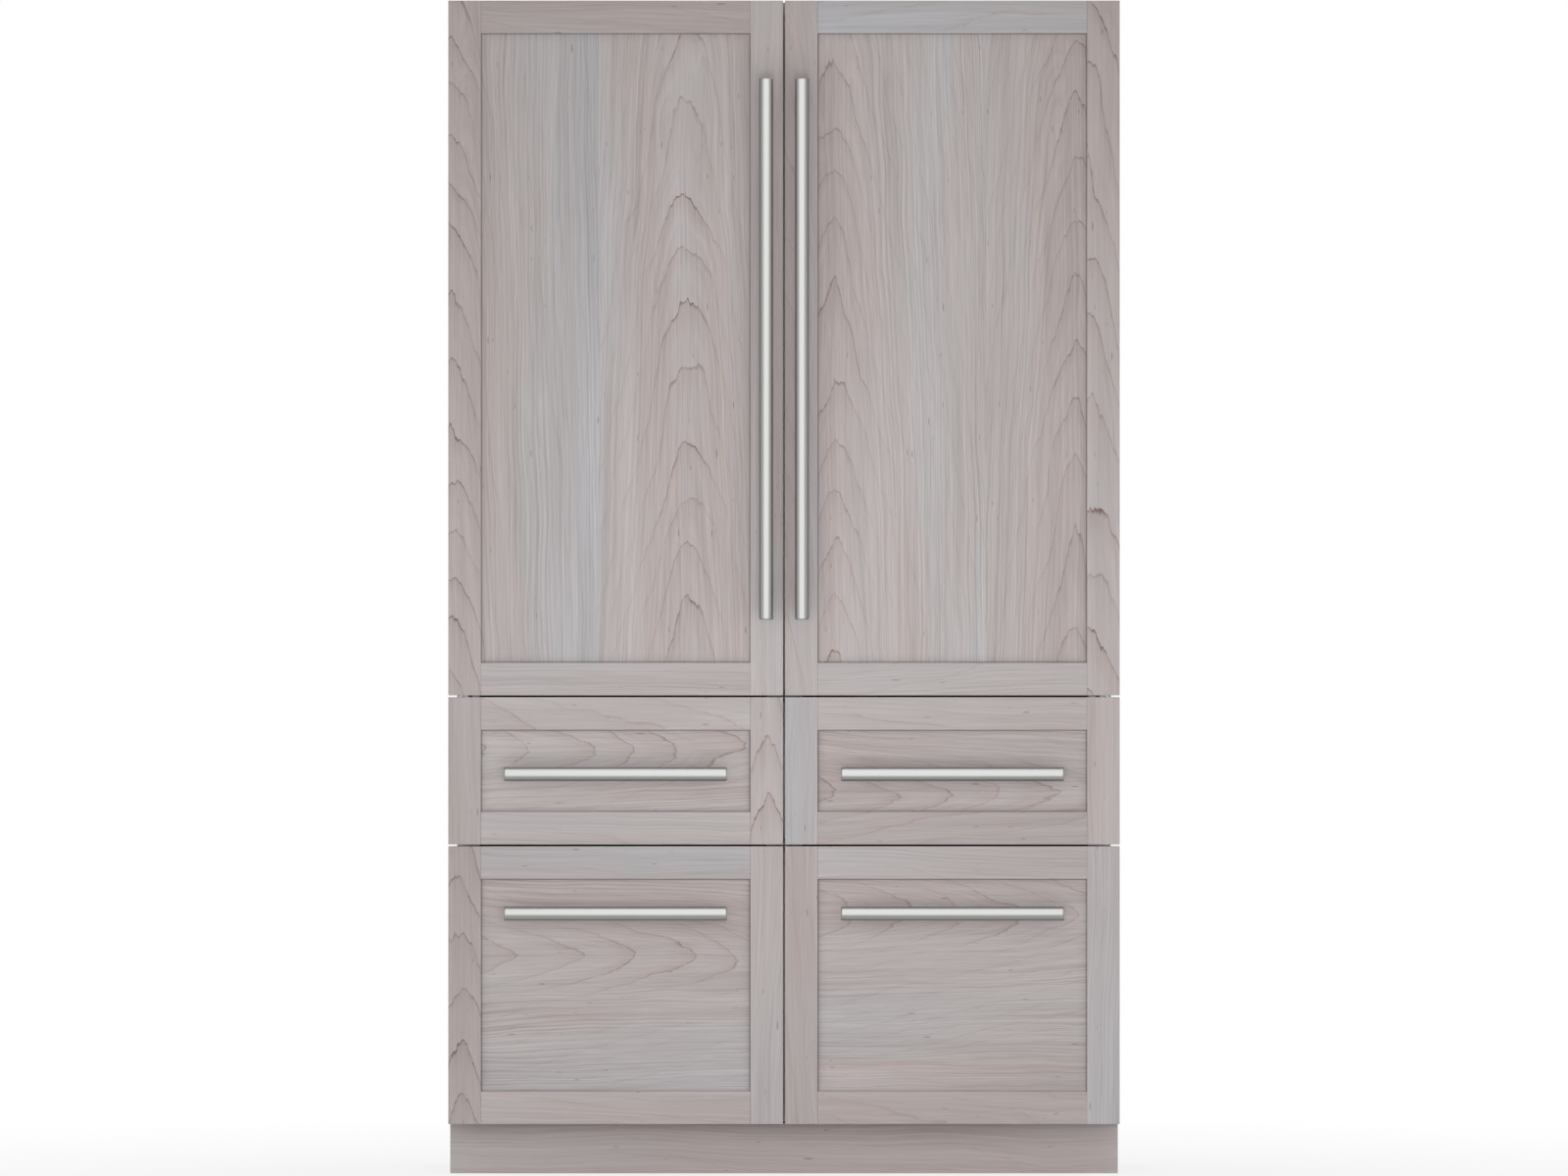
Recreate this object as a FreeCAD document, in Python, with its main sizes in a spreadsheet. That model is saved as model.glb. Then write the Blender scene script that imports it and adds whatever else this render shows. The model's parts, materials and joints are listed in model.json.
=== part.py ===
import FreeCAD, Part
import Sketcher
import os

# Built-in refrigerator: two upper doors, two chill drawers below them and two freezer drawers.
# Millimetres, +Z up.  The front faces -Y, and left and right are as seen from the front.
# The origin lies on the floor under the middle of the overall box.

doc = FreeCAD.newDocument("bottom_freezer_refrigerator")

# Counts, and the sign of X on each side.
SIDES = (("left", -1), ("right", 1))
SHELVES_PER_SIDE = 3
BINS_PER_DOOR = 4
BACK_VENT_ROWS = 9
BACK_VENT_COLUMNS = (-1, 0, 1)
AIR_SLOT_ROWS = 4
FAN_BLADES = 5

# Slack in the tests that pick edges by where they lie.
EDGE_SLACK = 1.0

# Driving dimensions, one cell each.
DIMENSIONS = (
    # overall box and the rows of wooden fronts
    ("overall_width", 1219.2),
    ("overall_height", 2133.6),
    ("body_depth", 610.0),
    ("handle_projection", 62.0),
    ("toe_height", 93.4),
    ("freezer_front_height", 504.5),
    ("chill_front_height", 267.5),
    ("front_gap", 3.25),
    ("center_gap", 3.7),
    # wooden fronts
    ("wood_thickness", 19.0),
    ("stile_width", 59.3),
    ("panel_recess", 9.5),
    ("panel_thickness", 6.5),
    ("groove_depth", 10.0),
    ("joint_clearance", 0.1),
    # insulated leaves behind the fronts, and their seals
    ("leaf_thickness", 52.0),
    ("leaf_center_inset", 10.0),
    ("leaf_edge_inset", 10.0),
    ("leaf_top_inset", 24.0),
    ("gasket_thickness", 10.0),
    ("gasket_width", 16.0),
    ("gasket_inset", 3.0),
    ("gasket_side_inset", 18.0),
    ("seal_clearance", 0.3),
    # cabinet shell
    ("side_reveal", 14.6),
    ("top_reveal", 1.0),
    ("sheet_thickness", 1.5),
    ("flange_width", 42.0),
    ("base_clearance", 2.0),
    ("mullion_width", 64.0),
    ("mullion_depth", 30.0),
    ("liner_wall", 2.0),
    ("back_insulation", 44.0),
    # machine compartment at the rear of the base
    ("machine_depth", 190.0),
    ("machine_height", 210.0),
    ("machine_insulation", 40.0),
    ("vent_length", 150.0),
    ("vent_spacing", 300.0),
    ("vent_width", 6.0),
    ("vent_pitch", 16.0),
    ("cord_inlet_radius", 6.0),
    ("cord_boss_radius", 13.0),
    ("cord_boss_length", 10.0),
    # base frame, feet and toe kick
    ("base_plate", 3.0),
    ("base_flange", 34.0),
    ("anchor_spacing", 900.0),
    ("anchor_radius", 4.5),
    ("anchor_drop", 18.0),
    ("foot_radius", 22.0),
    ("foot_height", 8.0),
    ("foot_neck_radius", 9.0),
    ("foot_neck_height", 16.0),
    ("foot_inset", 62.0),
    ("stud_radius", 6.0),
    ("stud_clearance", 0.2),
    ("boss_radius", 13.0),
    ("toe_setback", 75.0),
    ("toe_thickness", 12.5),
    ("toe_side_gap", 2.0),
    ("toe_floor_gap", 1.5),
    # refrigerator interior
    ("air_depth", 62.0),
    ("air_panel_thickness", 4.0),
    ("air_panel_gap", 0.3),
    ("air_slot_length", 180.0),
    ("air_slot_width", 8.0),
    ("air_slot_pitch", 20.0),
    ("air_slot_drop", 80.0),
    ("shelf_pitch", 290.0),
    ("shelf_thickness", 8.0),
    ("shelf_setback", 132.0),
    ("shelf_side_gap", 12.0),
    ("shelf_center_gap", 10.0),
    ("shelf_corner", 10.0),
    ("ladder_width", 18.0),
    ("ladder_depth", 9.0),
    ("ladder_inset", 42.0),
    ("ladder_end_gap", 40.0),
    ("arm_thickness", 4.0),
    ("arm_root_height", 34.0),
    ("arm_tip_height", 12.0),
    ("arm_tip_gap", 30.0),
    ("control_width", 320.0),
    ("control_depth", 70.0),
    ("control_thickness", 14.0),
    ("light_width", 14.0),
    ("light_thickness", 6.0),
    ("light_setback", 76.0),
    ("light_end_gap", 110.0),
    # doors
    ("door_liner_thickness", 3.0),
    ("liner_edge_gap", 1.0),
    ("ridge_width", 22.0),
    ("ridge_depth", 60.0),
    ("ridge_center_gap", 44.0),
    ("ridge_side_gap", 16.0),
    ("ridge_end_gap", 14.0),
    ("bin_wall", 3.0),
    ("bin_depth", 100.0),
    ("bin_height", 95.0),
    ("bin_floor_gap", 34.0),
    ("bin_top_gap", 200.3),
    ("bin_side_gap", 0.3),
    # hinges
    ("hinge_inset", 16.0),
    ("hinge_setback", 22.0),
    ("pin_radius", 6.0),
    ("pin_clearance", 0.05),
    ("pin_length", 26.0),
    ("pin_end_gap", 3.0),
    ("collar_radius", 10.0),
    ("collar_gap", 0.3),
    ("hinge_plate", 5.0),
    ("hinge_eye_radius", 12.0),
    ("hinge_arm_inner", 4.0),
    ("hinge_arm_outer", 24.0),
    ("hinge_lift", 1.0),
    ("hinge_leg_height", 16.5),
    ("hinge_leg_thickness", 4.0),
    ("screw_radius", 2.5),
    ("screw_clearance", 0.2),
    ("screw_head_radius", 4.2),
    ("screw_head_height", 2.4),
    ("screw_edge", 7.0),
    # drawers and their telescopic slides
    ("slide_height", 45.0),
    ("slide_thickness", 13.0),
    ("slide_sheet", 1.5),
    ("slide_clearance", 0.4),
    ("slide_setback", 10.0),
    ("slide_end_gap", 31.5),
    ("tub_wall", 2.0),
    ("tub_floor_gap", 14.0),
    ("tub_back_gap", 20.0),
    ("chill_tub_height", 150.0),
    ("freezer_tub_height", 345.0),
    # bar handles
    ("handle_diameter", 25.4),
    ("handle_chamfer", 1.5),
    ("post_diameter", 15.0),
    ("post_inset", 52.0),
    ("door_handle_length", 981.0),
    ("door_handle_drop", 142.9),
    ("door_handle_inset", 30.6),
    ("drawer_handle_length", 404.0),
    ("chill_handle_drop", 139.3),
    ("freezer_handle_drop", 121.4),
    # cooling machinery
    ("compressor_radius", 82.0),
    ("compressor_height", 178.0),
    ("compressor_round", 55.0),
    ("compressor_plate_width", 200.0),
    ("compressor_plate_depth", 170.0),
    ("compressor_plate_thickness", 6.0),
    ("compressor_side_inset", 265.0),
    ("condenser_length", 300.0),
    ("condenser_depth", 120.0),
    ("condenser_height", 150.0),
    ("condenser_side_gap", 85.0),
    ("evaporator_length", 640.0),
    ("evaporator_depth", 44.0),
    ("evaporator_height", 300.0),
    ("evaporator_lift", 120.0),
    ("fin_slot", 6.0),
    ("fin_pitch", 9.0),
    ("fin_spine", 12.0),
    ("shaft_radius", 3.0),
    ("shaft_clearance", 0.05),
    ("motor_radius", 26.0),
    ("motor_length", 22.0),
    ("motor_bracket", 4.0),
    ("hub_radius", 20.0),
    ("hub_length", 20.0),
    ("hub_gap", 0.8),
    ("blade_thickness", 2.5),
    ("blade_sweep", 16.0),
    ("condenser_fan_radius", 76.0),
    ("condenser_fan_lift", 105.0),
    ("condenser_fan_gap", 110.0),
    ("evaporator_fan_radius", 66.0),
    ("evaporator_fan_drop", 130.0),
)

# Places worked out from the dimensions.
PLACES = (
    ("half_width", "=Dim.overall_width / 2"),
    # depth, from the handles back
    ("y_front", "=-(Dim.body_depth + Dim.handle_projection) / 2"),
    ("y_bar", "=y_front + Dim.handle_diameter / 2"),
    ("y_face", "=y_front + Dim.handle_projection"),
    ("y_panel", "=y_face + Dim.panel_recess"),
    ("y_wood", "=y_face + Dim.wood_thickness"),
    ("y_leaf", "=y_wood + Dim.leaf_thickness"),
    ("y_seal", "=y_leaf + Dim.gasket_thickness"),
    ("y_cabinet", "=y_seal + Dim.seal_clearance"),
    ("y_back", "=y_face + Dim.body_depth"),
    ("y_liner", "=y_back - Dim.sheet_thickness - Dim.back_insulation"),
    ("y_machine", "=y_back - Dim.machine_depth"),
    ("y_hump", "=y_machine - Dim.machine_insulation"),
    ("y_toe", "=y_face + Dim.toe_setback"),
    ("y_base", "=y_toe + Dim.toe_thickness"),
    ("y_air", "=y_liner - Dim.liner_wall - Dim.air_depth"),
    ("y_ladder", "=y_air - Dim.ladder_depth"),
    ("y_shelf", "=y_cabinet + Dim.shelf_setback"),
    # width, from the middle out
    ("x_cabinet", "=half_width - Dim.side_reveal"),
    ("x_liner", "=x_cabinet - Dim.flange_width"),
    ("x_post", "=Dim.mullion_width / 2"),
    ("x_leaf", "=Dim.center_gap / 2 + Dim.leaf_center_inset"),
    ("x_seal_inner", "=x_leaf + Dim.gasket_inset"),
    ("x_seal_outer", "=x_cabinet - Dim.gasket_side_inset"),
    ("x_handle", "=Dim.center_gap / 2 + Dim.door_handle_inset"),
    ("x_front_middle", "=(Dim.center_gap / 2 + half_width) / 2"),
    ("x_pin", "=x_cabinet - Dim.hinge_inset"),
    ("y_pin", "=y_wood + Dim.hinge_setback"),
    # height, from the floor up
    ("z_freezer_high", "=Dim.toe_height + Dim.freezer_front_height"),
    ("z_chill_low", "=z_freezer_high + Dim.front_gap"),
    ("z_chill_high", "=z_chill_low + Dim.chill_front_height"),
    ("z_door_low", "=z_chill_high + Dim.front_gap"),
    ("z_cabinet", "=Dim.toe_height + Dim.base_clearance"),
    ("z_top", "=Dim.overall_height - Dim.top_reveal"),
    ("z_lower_rail", "=z_freezer_high + (Dim.front_gap - Dim.mullion_width) / 2"),
    ("z_upper_rail", "=z_chill_high + (Dim.front_gap - Dim.mullion_width) / 2"),
    ("z_freezer_floor", "=z_cabinet + Dim.flange_width"),
    ("z_chill_floor", "=z_lower_rail + Dim.mullion_width"),
    ("z_fridge_floor", "=z_upper_rail + Dim.mullion_width"),
    ("z_fridge_ceiling", "=z_top - Dim.flange_width"),
    ("z_machine", "=z_cabinet + Dim.machine_height"),
    ("z_hump", "=z_machine + Dim.machine_insulation"),
    ("z_leaf_top", "=Dim.overall_height - Dim.leaf_top_inset"),
    ("z_leaf_bottom", "=z_door_low + Dim.leaf_edge_inset"),
    ("z_hinge_low", "=z_chill_high + Dim.front_gap / 2 - Dim.hinge_plate"),
    ("z_hinge_high", "=z_leaf_top + Dim.hinge_lift"),
    # drawer boxes
    ("z_chill_tub", "=z_chill_floor + Dim.liner_wall + Dim.tub_floor_gap"),
    ("z_freezer_tub", "=z_freezer_floor + Dim.liner_wall + Dim.tub_floor_gap"),
    ("z_tub_step", "=z_hump + Dim.liner_wall + Dim.tub_floor_gap"),
    ("z_freezer_tub_top", "=z_freezer_tub + Dim.freezer_tub_height"),
    ("z_chill_slide", "=z_chill_tub + Dim.chill_tub_height / 2"),
    ("z_freezer_slide", "=(z_tub_step + z_freezer_tub_top) / 2"),
    ("x_wall_inner", "=x_post + Dim.liner_wall"),
    ("x_wall_outer", "=x_liner - Dim.liner_wall"),
    ("y_tub", "=y_liner - Dim.liner_wall - Dim.tub_back_gap"),
    ("y_tub_step", "=y_hump - Dim.liner_wall - Dim.tub_back_gap"),
    ("y_slide", "=y_seal + Dim.slide_setback"),
    ("slide_length", "=y_liner - Dim.liner_wall - Dim.slide_end_gap - y_slide"),
    # door bins, spread evenly up the door
    ("bin_floor", "=z_fridge_floor + Dim.liner_wall + Dim.bin_floor_gap"),
    ("bin_top", "=z_fridge_ceiling - Dim.liner_wall - Dim.bin_top_gap - Dim.bin_height"),
    ("bin_pitch", f"=(bin_top - bin_floor) / {BINS_PER_DOOR - 1}"),
    # cooling machinery
    ("x_compressor", "=x_cabinet - Dim.compressor_side_inset"),
    ("x_condenser", "=-x_cabinet + Dim.condenser_side_gap"),
    ("x_condenser_fan", "=x_condenser + Dim.condenser_length + Dim.condenser_fan_gap"),
    ("y_evaporator_motor", "=y_liner - Dim.liner_wall - Dim.motor_length"),
    ("z_evaporator_fan", "=z_fridge_ceiling - Dim.evaporator_fan_drop"),
    ("y_machine_middle", "=(y_machine + y_back) / 2"),
    ("z_condenser_fan", "=z_cabinet + Dim.condenser_fan_lift"),
    ("x_condenser_motor", "=x_condenser_fan + Dim.hub_length + Dim.hub_gap"),
)

# A rod lies along +Z until one of these turns lays it along its axis.
ROD_TURN = {
    "x": FreeCAD.Rotation(FreeCAD.Vector(0, 1, 0), 90),
    "y": FreeCAD.Rotation(FreeCAD.Vector(1, 0, 0), -90),
    "z": FreeCAD.Rotation(),
}

sub_parts = []


def fill_sheet(name, rows):
    """Put one alias and its content in each row of a new spreadsheet."""
    sheet = doc.addObject("Spreadsheet::Sheet", name)
    for row, (alias, content) in enumerate(rows, 1):
        sheet.set(f"A{row}", alias)
        sheet.set(f"B{row}", str(content))
        sheet.setAlias(f"B{row}", alias)
    doc.recompute()


def span(side, low, high):
    """A range of X given for the right half, mirrored for the left half."""
    if side > 0:
        return low, high
    return f"-({high})", f"-({low})"


def signed(side, place):
    """A place on X given for the right half, mirrored for the left half."""
    return place if side > 0 else f"-({place})"


def about(middle, size):
    """A range of the given size about its middle."""
    return f"({middle}) - ({size}) / 2", f"({middle}) + ({size}) / 2"


def from_low(low, size):
    """A range of the given size above its lower end."""
    return low, f"({low}) + ({size})"


def to_high(high, size):
    """A range of the given size below its upper end."""
    return f"({high}) - ({size})", high


def inset(limits, low_by, high_by=None):
    """A range drawn in at its two ends."""
    return f"({limits[0]}) + ({low_by})", f"({limits[1]}) - ({high_by or low_by})"


def block(name, x, y, z):
    """A box between the given ranges of X, Y and Z."""
    box = doc.addObject("Part::Box", name)
    for size, axis, (low, high) in zip(("Length", "Width", "Height"), "xyz", (x, y, z)):
        box.setExpression(size, f"({high}) - ({low})")
        box.setExpression(f"Placement.Base.{axis}", low)
    return box


def rod(name, axis, along, radius, **centre):
    """A cylinder along one axis, over the given range, at its centre on the other two axes."""
    cylinder = doc.addObject("Part::Cylinder", name)
    cylinder.setExpression("Radius", radius)
    cylinder.setExpression("Height", f"({along[1]}) - ({along[0]})")
    cylinder.Placement = FreeCAD.Placement(FreeCAD.Vector(), ROD_TURN[axis])
    for key, place in {**centre, axis: along[0]}.items():
        cylinder.setExpression(f"Placement.Base.{key}", place)
    return cylinder


def fuse(name, *shapes):
    """One solid from shapes that meet."""
    union = doc.addObject("Part::MultiFuse", name)
    union.Shapes = list(shapes)
    union.Refine = True
    return union


def group(name, *shapes):
    """Separate solids kept together under one name."""
    compound = doc.addObject("Part::Compound", name)
    compound.Links = list(shapes)
    return compound


def cut(name, base, *tools):
    """A shape with one or more tools taken out of it."""
    result = doc.addObject("Part::Cut", name)
    result.Base = base
    result.Tool = tools[0] if len(tools) == 1 else fuse(name + "_tools", *tools)
    result.Refine = True
    return result


def shell(name, x, y, z, wall, **open_sides):
    """A box with a hollow of even wall, open on the sides named low_x, high_x and so on."""
    outer = block(name + "_outer", x, y, z)
    hollow = {}
    for axis, (low, high) in zip("xyz", (x, y, z)):
        low_end = f"({low}) - ({wall})" if f"low_{axis}" in open_sides else f"({low}) + ({wall})"
        high_end = f"({high}) + ({wall})" if f"high_{axis}" in open_sides else f"({high}) - ({wall})"
        hollow[axis] = (low_end, high_end)
    return cut(name, outer, block(name + "_hollow", **hollow))


def ring(name, x, y, z, width):
    """A flat frame of even width in the XZ plane."""
    outer = block(name + "_outer", x, y, z)
    opening = block(name + "_opening", inset(x, width), y, inset(z, width))
    return cut(name, outer, opening)


def origin_feature(body, role):
    """An origin plane or axis of the body, by its role."""
    return next(feature for feature in body.Origin.OriginFeatures if feature.Role == role)


def new_sketch(body, role):
    """An empty sketch on one of the body's own origin planes."""
    sketch = body.newObject("Sketcher::SketchObject", body.Name + "_sketch")
    sketch.AttachmentSupport = [(origin_feature(body, role), "")]
    sketch.MapMode = "FlatFace"
    return sketch


def polygon_sketch(body, role, points):
    """A closed outline whose corners are bound to expressions."""
    sketch = new_sketch(body, role)
    corners = []
    for x, y in points:
        corners.append(FreeCAD.Vector(float(sketch.evalExpression(x)), float(sketch.evalExpression(y)), 0))
    count = len(points)
    for index, corner in enumerate(corners):
        sketch.addGeometry(Part.LineSegment(corner, corners[(index + 1) % count]))
    for index in range(count):
        sketch.addConstraint(Sketcher.Constraint("Coincident", index, 2, (index + 1) % count, 1))
    for index, (x, y) in enumerate(points):
        for kind, place, value in (("DistanceX", x, corners[index].x), ("DistanceY", y, corners[index].y)):
            number = sketch.addConstraint(Sketcher.Constraint(kind, -1, 1, index, 1, value))
            sketch.setExpression(f"Constraints[{number}]", place)
    return sketch


def rectangle_sketch(body, role, x, y):
    """A rectangle between two ranges."""
    return polygon_sketch(body, role, ((x[0], y[0]), (x[1], y[0]), (x[1], y[1]), (x[0], y[1])))


def circle_sketch(body, role, radius):
    """A circle about the body's origin."""
    sketch = new_sketch(body, role)
    start = float(sketch.evalExpression(radius))
    sketch.addGeometry(Part.Circle(FreeCAD.Vector(), FreeCAD.Vector(0, 0, 1), start))
    sketch.addConstraint(Sketcher.Constraint("Coincident", 0, 3, -1, 1))
    number = sketch.addConstraint(Sketcher.Constraint("Radius", 0, start))
    sketch.setExpression(f"Constraints[{number}]", radius)
    return sketch


def add_pad(body, sketch, length, reversed_way=False):
    """Carry a sketch along its normal."""
    feature = body.newObject("PartDesign::Pad", body.Name + "_pad")
    feature.Profile = sketch
    feature.setExpression("Length", length)
    feature.Reversed = reversed_way
    return feature


def add_pocket_through(body, sketch, reversed_way):
    """Cut a sketch right through the body."""
    feature = body.newObject("PartDesign::Pocket", body.Name + "_pocket")
    feature.Profile = sketch
    feature.Type = "ThroughAll"
    feature.Reversed = reversed_way
    return feature


def edge_names(feature, wanted):
    """Names of the feature's edges that pass a test."""
    doc.recompute()
    return [f"Edge{number}" for number, edge in enumerate(feature.Shape.Edges, 1) if wanted(edge)]


def place(item, x, y, z, turn=None):
    """Bind an object's place, after its turn."""
    if turn:
        item.Placement = FreeCAD.Placement(FreeCAD.Vector(), turn)
    for axis, value in zip("xyz", (x, y, z)):
        item.setExpression(f"Placement.Base.{axis}", value)
    return item


def keep(item):
    """Put a finished sub-part on the list that is written out."""
    sub_parts.append(item)
    return item


fill_sheet("Dim", DIMENSIONS)
fill_sheet("At", PLACES)

WHOLE_WIDTH = ("-At.x_cabinet", "At.x_cabinet")
INSIDE_WIDTH = inset(WHOLE_WIDTH, "Dim.sheet_thickness")
LINER_WIDTH = ("-At.x_liner", "At.x_liner")
POST_WIDTH = ("-At.x_post", "At.x_post")
MULLION_REACH = from_low("At.y_cabinet", "Dim.mullion_depth")
FRIDGE_HEIGHT = ("At.z_fridge_floor", "At.z_fridge_ceiling")
FRIDGE_INSIDE = inset(FRIDGE_HEIGHT, "Dim.liner_wall")
CHILL_HEIGHT = ("At.z_chill_floor", "At.z_upper_rail")
FREEZER_HEIGHT = ("At.z_freezer_floor", "At.z_lower_rail")
FREEZER_UPPER = ("At.z_hump", "At.z_lower_rail")
LINER_REACH = ("At.y_cabinet", "At.y_liner")
HUMP_REACH = ("At.y_cabinet", "At.y_hump")

# The two ends of each door hinge: plate height and the way that its pin points.
HINGES = (("low", "At.z_hinge_low", 1), ("high", "At.z_hinge_high", -1))

# Each row of drawers: height of its front, and the lines of its slides and handles.
DRAWER_ROWS = (
    {
        "name": "chill",
        "front": ("At.z_chill_low", "At.z_chill_high"),
        "slide": "At.z_chill_slide",
        "handle": "At.z_chill_high - Dim.chill_handle_drop",
    },
    {
        "name": "freezer",
        "front": ("Dim.toe_height", "At.z_freezer_high"),
        "slide": "At.z_freezer_slide",
        "handle": "At.z_freezer_high - Dim.freezer_handle_drop",
    },
)


def hinge_screw_places(side):
    """Centres of the two screws of each hinge bracket on one side, as X and Z."""
    places = []
    for _, plate, _ in HINGES:
        height = f"{plate} + Dim.hinge_leg_height - (Dim.hinge_leg_height - Dim.hinge_plate) / 2"
        for reach in (
            "At.x_pin + Dim.hinge_arm_inner - Dim.screw_edge",
            "At.x_pin - Dim.hinge_arm_outer + Dim.screw_edge",
        ):
            places.append((signed(side, reach), height))
    return places


def screw_holes(name, side, y):
    """Clearance holes for the hinge screws of one side."""
    radius = "Dim.screw_radius + Dim.screw_clearance"
    holes = []
    for x, z in hinge_screw_places(side):
        holes.append(rod(name, "y", y, radius, x=x, z=z))
    return holes


def make_side_panels():
    """Two steel sides, each folded inwards at the front to a flange that the seals close on."""
    panels = []
    for word, side in SIDES:
        name = f"{word}_side"
        sheet_x = span(side, *to_high("At.x_cabinet", "Dim.sheet_thickness"))
        flange_x = span(side, "At.x_liner", "At.x_cabinet")
        sheet = block(name + "_sheet", sheet_x, ("At.y_cabinet", "At.y_back"), ("At.z_cabinet", "At.z_top"))
        flange_y = from_low("At.y_cabinet", "Dim.sheet_thickness")
        flange_z = ("At.z_cabinet", "At.z_top - Dim.sheet_thickness")
        flange = block(name + "_flange", flange_x, flange_y, flange_z)
        folded = fuse(name + "_folded", sheet, flange)
        panels.append(cut(name, folded, *screw_holes(name + "_hole", side, flange_y)))
    return keep(group("side_panels", *panels))


def make_top_panel():
    """Steel top with a front flange."""
    sheet_z = to_high("At.z_top", "Dim.sheet_thickness")
    sheet = block("top_sheet", INSIDE_WIDTH, ("At.y_cabinet", "At.y_back"), sheet_z)
    flange_y = from_low("At.y_cabinet", "Dim.sheet_thickness")
    flange = block("top_flange", LINER_WIDTH, flange_y, ("At.z_fridge_ceiling", "At.z_top"))
    return keep(fuse("top_panel", sheet, flange))


def make_back_panel():
    """Steel back with vent slots over the machine compartment and a boss where the cord comes in."""
    thickness = to_high("At.y_back", "Dim.sheet_thickness")
    sheet = block("back_sheet", INSIDE_WIDTH, thickness, ("At.z_cabinet", "At.z_top - Dim.sheet_thickness"))
    inlet_x = "-At.x_cabinet / 2"
    inlet_z = "At.z_machine - Dim.cord_boss_radius * 2"
    boss_y = to_high("At.y_back", "Dim.cord_boss_length")
    boss = rod("cord_boss", "y", boss_y, "Dim.cord_boss_radius", x=inlet_x, z=inlet_z)
    tools = [rod("cord_hole", "y", boss_y, "Dim.cord_inlet_radius", x=inlet_x, z=inlet_z)]
    for row in range(BACK_VENT_ROWS):
        slot_z = about(f"At.z_cabinet + Dim.vent_pitch * {row + 1}", "Dim.vent_width")
        for column in BACK_VENT_COLUMNS:
            slot_x = about(f"Dim.vent_spacing * {column}", "Dim.vent_length")
            tools.append(block("back_vent", slot_x, thickness, slot_z))
    return keep(cut("back_panel", fuse("back_with_boss", sheet, boss), *tools))


def foot_places():
    """Centres of the four feet, as X and Y."""
    places = []
    for _, side in SIDES:
        for y in ("At.y_base + Dim.foot_inset", "At.y_back - Dim.foot_inset"):
            places.append((signed(side, "At.x_cabinet - Dim.foot_inset"), y))
    return places


def make_base_frame():
    """Steel base: plate with turned-down edges, bosses for the feet, and the machine bulkhead."""
    y = ("At.y_base", "At.y_back")
    plate_z = to_high("At.z_cabinet", "Dim.base_plate")
    skirt_z = to_high("At.z_cabinet", "Dim.base_flange")
    pieces = [
        block("base_sheet", WHOLE_WIDTH, y, plate_z),
        block("base_front", WHOLE_WIDTH, from_low(y[0], "Dim.base_plate"), skirt_z),
        block("base_rear", WHOLE_WIDTH, to_high(y[1], "Dim.base_plate"), skirt_z),
    ]
    for _, side in SIDES:
        edge_x = span(side, *to_high("At.x_cabinet", "Dim.base_plate"))
        pieces.append(block("base_edge", edge_x, y, skirt_z))
    bulkhead_y = from_low("At.y_machine", "Dim.sheet_thickness")
    pieces.append(block("bulkhead", INSIDE_WIDTH, bulkhead_y, ("At.z_cabinet", "At.z_machine")))
    lid_y = ("At.y_machine", "At.y_back - Dim.sheet_thickness")
    pieces.append(block("machine_lid", INSIDE_WIDTH, lid_y, to_high("At.z_machine", "Dim.sheet_thickness")))
    holes = []
    for x, y_foot in foot_places():
        pieces.append(rod("foot_boss", "z", skirt_z, "Dim.boss_radius", x=x, y=y_foot))
        bore_z = ("At.z_cabinet - Dim.base_flange", "At.z_cabinet - Dim.base_plate")
        holes.append(rod("foot_bore", "z", bore_z, "Dim.stud_radius + Dim.stud_clearance", x=x, y=y_foot))
    anchor_y = to_high("At.y_back", "Dim.base_plate")
    anchor_z = "At.z_cabinet - Dim.anchor_drop"
    for _, side in SIDES:
        anchor_x = signed(side, "Dim.anchor_spacing / 2")
        holes.append(rod("anchor_hole", "y", anchor_y, "Dim.anchor_radius", x=anchor_x, z=anchor_z))
    return keep(cut("base_frame", fuse("base_solid", *pieces), *holes))


def make_leveling_feet():
    """Four turned feet: a floor pad, a cone neck and a stud that screws up into the base."""
    top = "At.z_cabinet - Dim.base_plate - Dim.stud_clearance"
    outline = (
        ("0", "0"),
        ("Dim.foot_radius", "0"),
        ("Dim.foot_radius", "Dim.foot_height"),
        ("Dim.foot_neck_radius", "Dim.foot_neck_height"),
        ("Dim.stud_radius", "Dim.foot_neck_height"),
        ("Dim.stud_radius", top),
        ("0", top),
    )
    feet = []
    for x, y in foot_places():
        body = doc.addObject("PartDesign::Body", "leveling_foot")
        sketch = polygon_sketch(body, "XZ_Plane", outline)
        turned = body.newObject("PartDesign::Revolution", body.Name + "_turned")
        turned.Profile = sketch
        turned.ReferenceAxis = (sketch, ["V_Axis"])
        turned.Angle = 360
        feet.append(place(body, x, y, "0"))
    return keep(group("leveling_feet", *feet))


def make_toe_kick():
    """Wooden board set back under the fronts."""
    x = inset(("-At.half_width", "At.half_width"), "Dim.toe_side_gap")
    return keep(block("toe_kick", x, ("At.y_toe", "At.y_base"), ("Dim.toe_floor_gap", "Dim.toe_height")))


def drawer_width(side):
    """Width of a drawer liner on one side."""
    return span(side, "At.x_post", "At.x_liner")


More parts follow.
